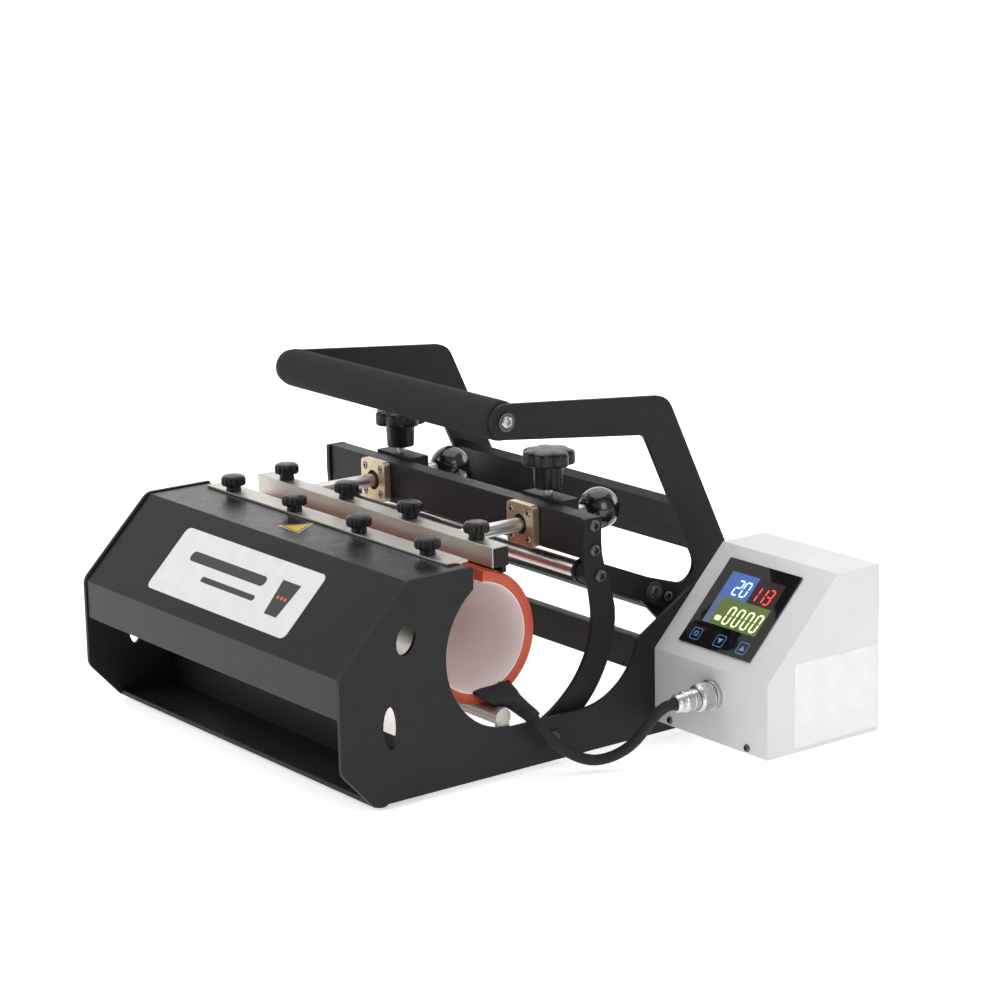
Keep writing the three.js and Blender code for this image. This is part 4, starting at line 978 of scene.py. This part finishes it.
pivot = [
    (0, -168.1), (3.2, -168.0), (5.4, -167.2), (6.3, -165.9), (6.3, -165.3), (5, -165.3),
    (5, 164.6), (0, 164.6),
]
turned("handle_shaft", pivot, HANDLE_PIVOT, "X", black_screw, "base",
       ["handle_pivot_shaft"], sides=48, ease=0.4)

# ---- Control box -----------------------------------------------------------------------------
# Folded 1.5 mm steel with a pale grey coat: a cover with a sloping face, screwed on a chassis that
# is bolted to the right side plate. A blank white label is on the outer wall.

grey_coat = Finish("pale_grey_coat", (0.6, 0.6, 0.605), 0.4)
grey_dust = grey_coat.ramp(grey_coat.noise(60, 3), 0.35, 0.75)
grey_coat.shades(grey_dust, (0.585, 0.585, 0.59), (0.625, 0.625, 0.63))
grey_coat.patchy(6, 4, 0.3, 0.42)
grey_coat.relief(grey_coat.noise(1.3, 2) * 0.8 + grey_coat.noise(0.4, 1) * 0.2, 0.022)
refinish("control_box_cover", grey_coat, 1.3, 4, 25)
refinish("control_box_chassis", grey_coat, 0.4, 2, 25)
paper = printed("blank_label", (0.72, 0.72, 0.72), 0.4)
BOX_OUT_X = 282
slab("box_label", rounded_rectangle(159, 235.3, 17, 76, 1), (BOX_OUT_X + 0.02, 0, 0), (0, 1, 0),
     (0, 0, 1), 0.12, paper, "base", 0.03)
BOX_SCREW_Z = 17.6
for number, x in enumerate((181.5, 261.6), 1):
    socket_screw(f"box_front_screw_{number}", (x, BOX_FRONT_Y - 0.02, BOX_SCREW_Z), (0, -1, 0), 2.7,
                 black_screw, "base", 1.6)

# ---- Touch panel -----------------------------------------------------------------------------
# Black glass with a colour display behind it and three touch keys. Only digits and plain key
# symbols are on it.

BOX_FOLD_Z, BOX_SLOPE_RUN, BOX_TOP_Z = 66.4, 63.4, 132.1
lean = math.atan2(BOX_TOP_Z - BOX_FOLD_Z, BOX_SLOPE_RUN)
UP_PANEL = (0, math.cos(lean), math.sin(lean))
PANEL_OUT = Vector((0, -math.sin(lean), math.cos(lean)))
PANEL_FOOT = Vector((0, BOX_FRONT_Y, BOX_FOLD_Z))
glass = Finish("black_glass", (0.006, 0.006, 0.007), 0.05, Coat_Weight=1.0, Coat_Roughness=0.02)
glass.patchy(20, 3, 0.03, 0.09)
refinish("display_panel", glass, 0.3, 2)


def lit(name, color, strength, mottle=0.85):
    """A printed or lit field of the display: mostly its own light, a little uneven."""
    field = Finish(name, tuple(part * 0.5 for part in color), 0.25, Emission_Strength=strength)
    dim = tuple(part * mottle for part in color)
    uneven = field.ramp(field.noise(14, 2), 0.3, 0.7)
    return field.paint(**{"Emission Color": field.tint(uneven, dim, color)})


fields = {
    "blue": (lit("display_blue", (0.055, 0.12, 0.36), 0.9), (193, 221, 51.5, 71.5)),
    "red": (lit("display_red", (0.022, 0.007, 0.011), 0.9), (221, 247, 51.5, 71.5)),
    "violet": (lit("display_violet", (0.09, 0.12, 0.22), 0.9), (193, 199.5, 29.5, 51.5)),
    "green": (lit("display_green", (0.09, 0.13, 0.03), 0.9), (199.5, 247, 29.5, 51.5)),
}
ON_GLASS = PANEL_FOOT + PANEL_OUT * 1.31
ON_FIELD = PANEL_FOOT + PANEL_OUT * 1.37
for name, (field, (x0, x1, up0, up1)) in fields.items():
    slab(f"display_{name}_field", rounded_rectangle(x0, x1, up0, up1, 0.3, 2), ON_GLASS, ACROSS,
         UP_PANEL, 0.05, field, "base", 0.01)

SEGMENTS = {"0": "abcdef", "1": "bc", "2": "abged", "3": "abgcd"}
DIGIT_LEAN = 0.1


def segment_outlines(digit, x, up, wide, tall, stroke):
    """The strokes of a seven-segment digit whose lower left corner is at (x, up)."""
    half, gap = stroke / 2, stroke * 0.18
    level = {"a": tall, "g": tall / 2, "d": 0}
    post = {"f": (0, 1), "b": (1, 1), "e": (0, 0), "c": (1, 0)}
    strokes = []
    for part in SEGMENTS[digit]:
        if part in level:
            v, left, right = level[part], gap, wide - gap
            shape = [(left, v), (left + half, v - half), (right - half, v - half), (right, v),
                     (right - half, v + half), (left + half, v + half)]
        else:
            column, upper = post[part]
            u = column * wide
            low, high = (tall / 2 + gap, tall - gap) if upper else (gap, tall / 2 - gap)
            shape = [(u, low), (u + half, low + half), (u + half, high - half), (u, high),
                     (u - half, high - half), (u - half, low + half)]
        strokes.append([(x + a + b * DIGIT_LEAN, up + b) for a, b in shape])
    return strokes


def lit_marks(name, outlines, origin, finish):
    """Several flat outlines on the panel as one piece of the display."""
    form = bmesh.new()
    normal = Vector(ACROSS).cross(Vector(UP_PANEL)).normalized()
    for outline in outlines:
        rows = []
        for height in (0, 0.03):
            row = []
            for a, b in outline:
                spot = origin + Vector(ACROSS) * a + Vector(UP_PANEL) * b + normal * height
                row.append(form.verts.new(at(*spot)))
            rows.append(row)
        skin(form, rows)
    return add(name, finished(name, form, 0), finish, "base")


readings = [
    ("time", "20", 203.5, 54.5, 5.2, 11.5, 6.6, (0.55, 0.75, 1.0)),
    ("heat", "113", 222.5, 54.0, 4.6, 11.5, 6.2, (0.95, 0.06, 0.03)),
    ("count", "0000", 211, 32.0, 5.0, 13.5, 8.4, (0.85, 0.95, 0.55)),
]
for name, digits, x, up, wide, tall, pitch, color in readings:
    strokes = []
    for place, digit in enumerate(digits):
        strokes += segment_outlines(digit, x + place * (wide + pitch - 4.2), up, wide, tall, 1.3)
    digit_light = lit(f"{name}_digits", color, 1.4, 0.95)
    lit_marks(f"display_{name}_digits", strokes, ON_FIELD, digit_light)
lamp = rounded_rectangle(202.2, 208.2, 33, 37, 1.4, 3)
lit_marks("display_counter_lamp", [lamp], ON_FIELD, lit("counter_lamp", (0.85, 0.95, 0.5), 1.2))

key_ink = lit("key_ink", (0.10, 0.22, 0.42), 0.9)
KEY_UP = 19.2
symbols = {
    "cycle": [[(-1.9, -1.9), (-1.2, -1.9), (-1.2, 1.9), (-1.9, 1.9)],
              [(-1.2, 1.2), (1.9, 1.2), (1.9, 1.9), (-1.2, 1.9)],
              [(1.2, -1.9), (1.9, -1.9), (1.9, 1.2), (1.2, 1.2)],
              [(-0.2, -1.9), (1.2, -1.9), (1.2, -1.2), (-0.2, -1.2)]],
    "down": [[(-2.4, 1.9), (0, -2.1), (2.4, 1.9)]],
    "up": [[(-2.4, -1.9), (2.4, -1.9), (0, 2.1)]],
}
outer = rounded_rectangle(-4.6, 4.6, -4.6, 4.6, 1.6, 4)
inner = rounded_rectangle(-4.2, 4.2, -4.2, 4.2, 1.3, 4)
key_border = []
for k in range(len(outer)):
    j = (k + 1) % len(outer)
    key_border.append([outer[k], outer[j], inner[j], inner[k]])
for (name, strokes), x in zip(symbols.items(), (195.2, 219.6, 242.9)):
    shifted = [[(x + a, KEY_UP + b) for a, b in part] for part in key_border + strokes]
    lit_marks(f"key_{name}", shifted, ON_GLASS, key_ink)

# ---- Power board and relay -------------------------------------------------------------------
# Inside the box: a glass-fibre board on posts with its transformer, and a moulded relay that is
# screwed to the inner wall.

board = Finish("circuit_board", (0.03, 0.16, 0.06), 0.45)
board.shades(board.cells(2.2) > 0.42, (0.02, 0.12, 0.045), (0.05, 0.2, 0.08))
board.relief(board.cells(2.2), 0.05)
refinish("power_board", board, 0.3, 2)
relay_case = Finish("relay_case", (0.62, 0.60, 0.56), 0.5)
relay_case.patchy(3, 3, 0.42, 0.58)
relay_case.relief(relay_case.noise(0.5, 2), 0.03)
refinish("solid_state_relay", relay_case, 1.0)

# ---- Mains inlet and power rocker ------------------------------------------------------------
# A moulded inlet module snapped into the chassis's rear wall, with three blades and a rocker.

refinish("mains_inlet", moulded, 0.5)
refinish("power_rocker", moulded, 0.5)
INLET_X, INLET_Z, BOX_REAR_Y = 227.3, 55.7, 237
blade = rounded_rectangle(-0.8, 0.8, -2.4, 2.4, 0.35, 3)
for number, (x, z) in enumerate(((5, -1.5), (11, 3.5), (17, -1.5)), 1):
    origin = (INLET_X + x, BOX_REAR_Y - 14, INLET_Z + z)
    slab(f"inlet_blade_{number}", blade, origin, (0, 0, 1), ACROSS, 10, nickel, "base",
         0.3)

# ---- Studio ----------------------------------------------------------------------------------
# A plain pale sweep and four soft lights: a broad one overhead, one to the front left, one on the
# camera's side and a low one behind.

sweep = bmesh.new()
profile = [(-3.2, 0)] + [(2.2 + 0.9 * math.sin(a), 0.9 - 0.9 * math.cos(a)) for a in
                         [math.radians(k * 9) for k in range(11)]] + [(3.1, 4.5)]
back = Vector((-0.7982, 0.6023, 0))
left = Vector((0.6023, 0.7982, 0))
rows = []
for far, high in profile:
    middle = back * far + Vector((0, 0, high - 0.0002))
    rows.append([sweep.verts.new(middle + left * side) for side in (-5, 5)])
for low, high in zip(rows, rows[1:]):
    sweep.faces.new((low[0], low[1], high[1], high[0]))
floor_mesh = bpy.data.meshes.new("studio_floor")
sweep.to_mesh(floor_mesh)
sweep.free()
shade(floor_mesh, 60)
floor = bpy.data.objects.new("studio_floor", floor_mesh)
bpy.context.collection.objects.link(floor)
paper_white = Finish("studio_white", (0.93, 0.93, 0.93), 0.9)
paper_white.shades(paper_white.noise(300, 2), (0.92, 0.92, 0.92), (0.94, 0.94, 0.94))
paper_white.paint(**{"Emission Color": (1, 1, 1, 1), "Emission Strength": 0.55})
floor.data.materials.append(paper_white.material)


def softbox(name, place, target, size, power):
    light = bpy.data.lights.new(name, "AREA")
    light.shape = "RECTANGLE"
    light.size, light.size_y = size
    light.energy = power
    lamp_object = bpy.data.objects.new(name, light)
    bpy.context.collection.objects.link(lamp_object)
    lamp_object.location = place
    lamp_object.rotation_euler = (Vector(target) - Vector(place)).to_track_quat("-Z", "Y").to_euler()


softbox("overhead", (-0.3, 0.3, 2.2), (0, 0, 0), (2.6, 2.6), 30)
softbox("front_left", (-0.9, -1.9, 1.0), (0, 0, 0.1), (1.2, 1.4), 24)
softbox("camera_side", (1.9, -0.2, 0.9), (0, 0, 0.1), (0.9, 1.2), 9)
softbox("rim", (0.5, 2.0, 0.8), (0, 0, 0.15), (1.2, 0.8), 9)
world = bpy.data.worlds.new("studio")
world.use_nodes = True
background = world.node_tree.nodes["Background"]
background.inputs["Color"].default_value = (1, 1, 1, 1)
background.inputs["Strength"].default_value = 0.4
bpy.context.scene.world = world
bpy.context.scene.view_settings.view_transform = "Standard"
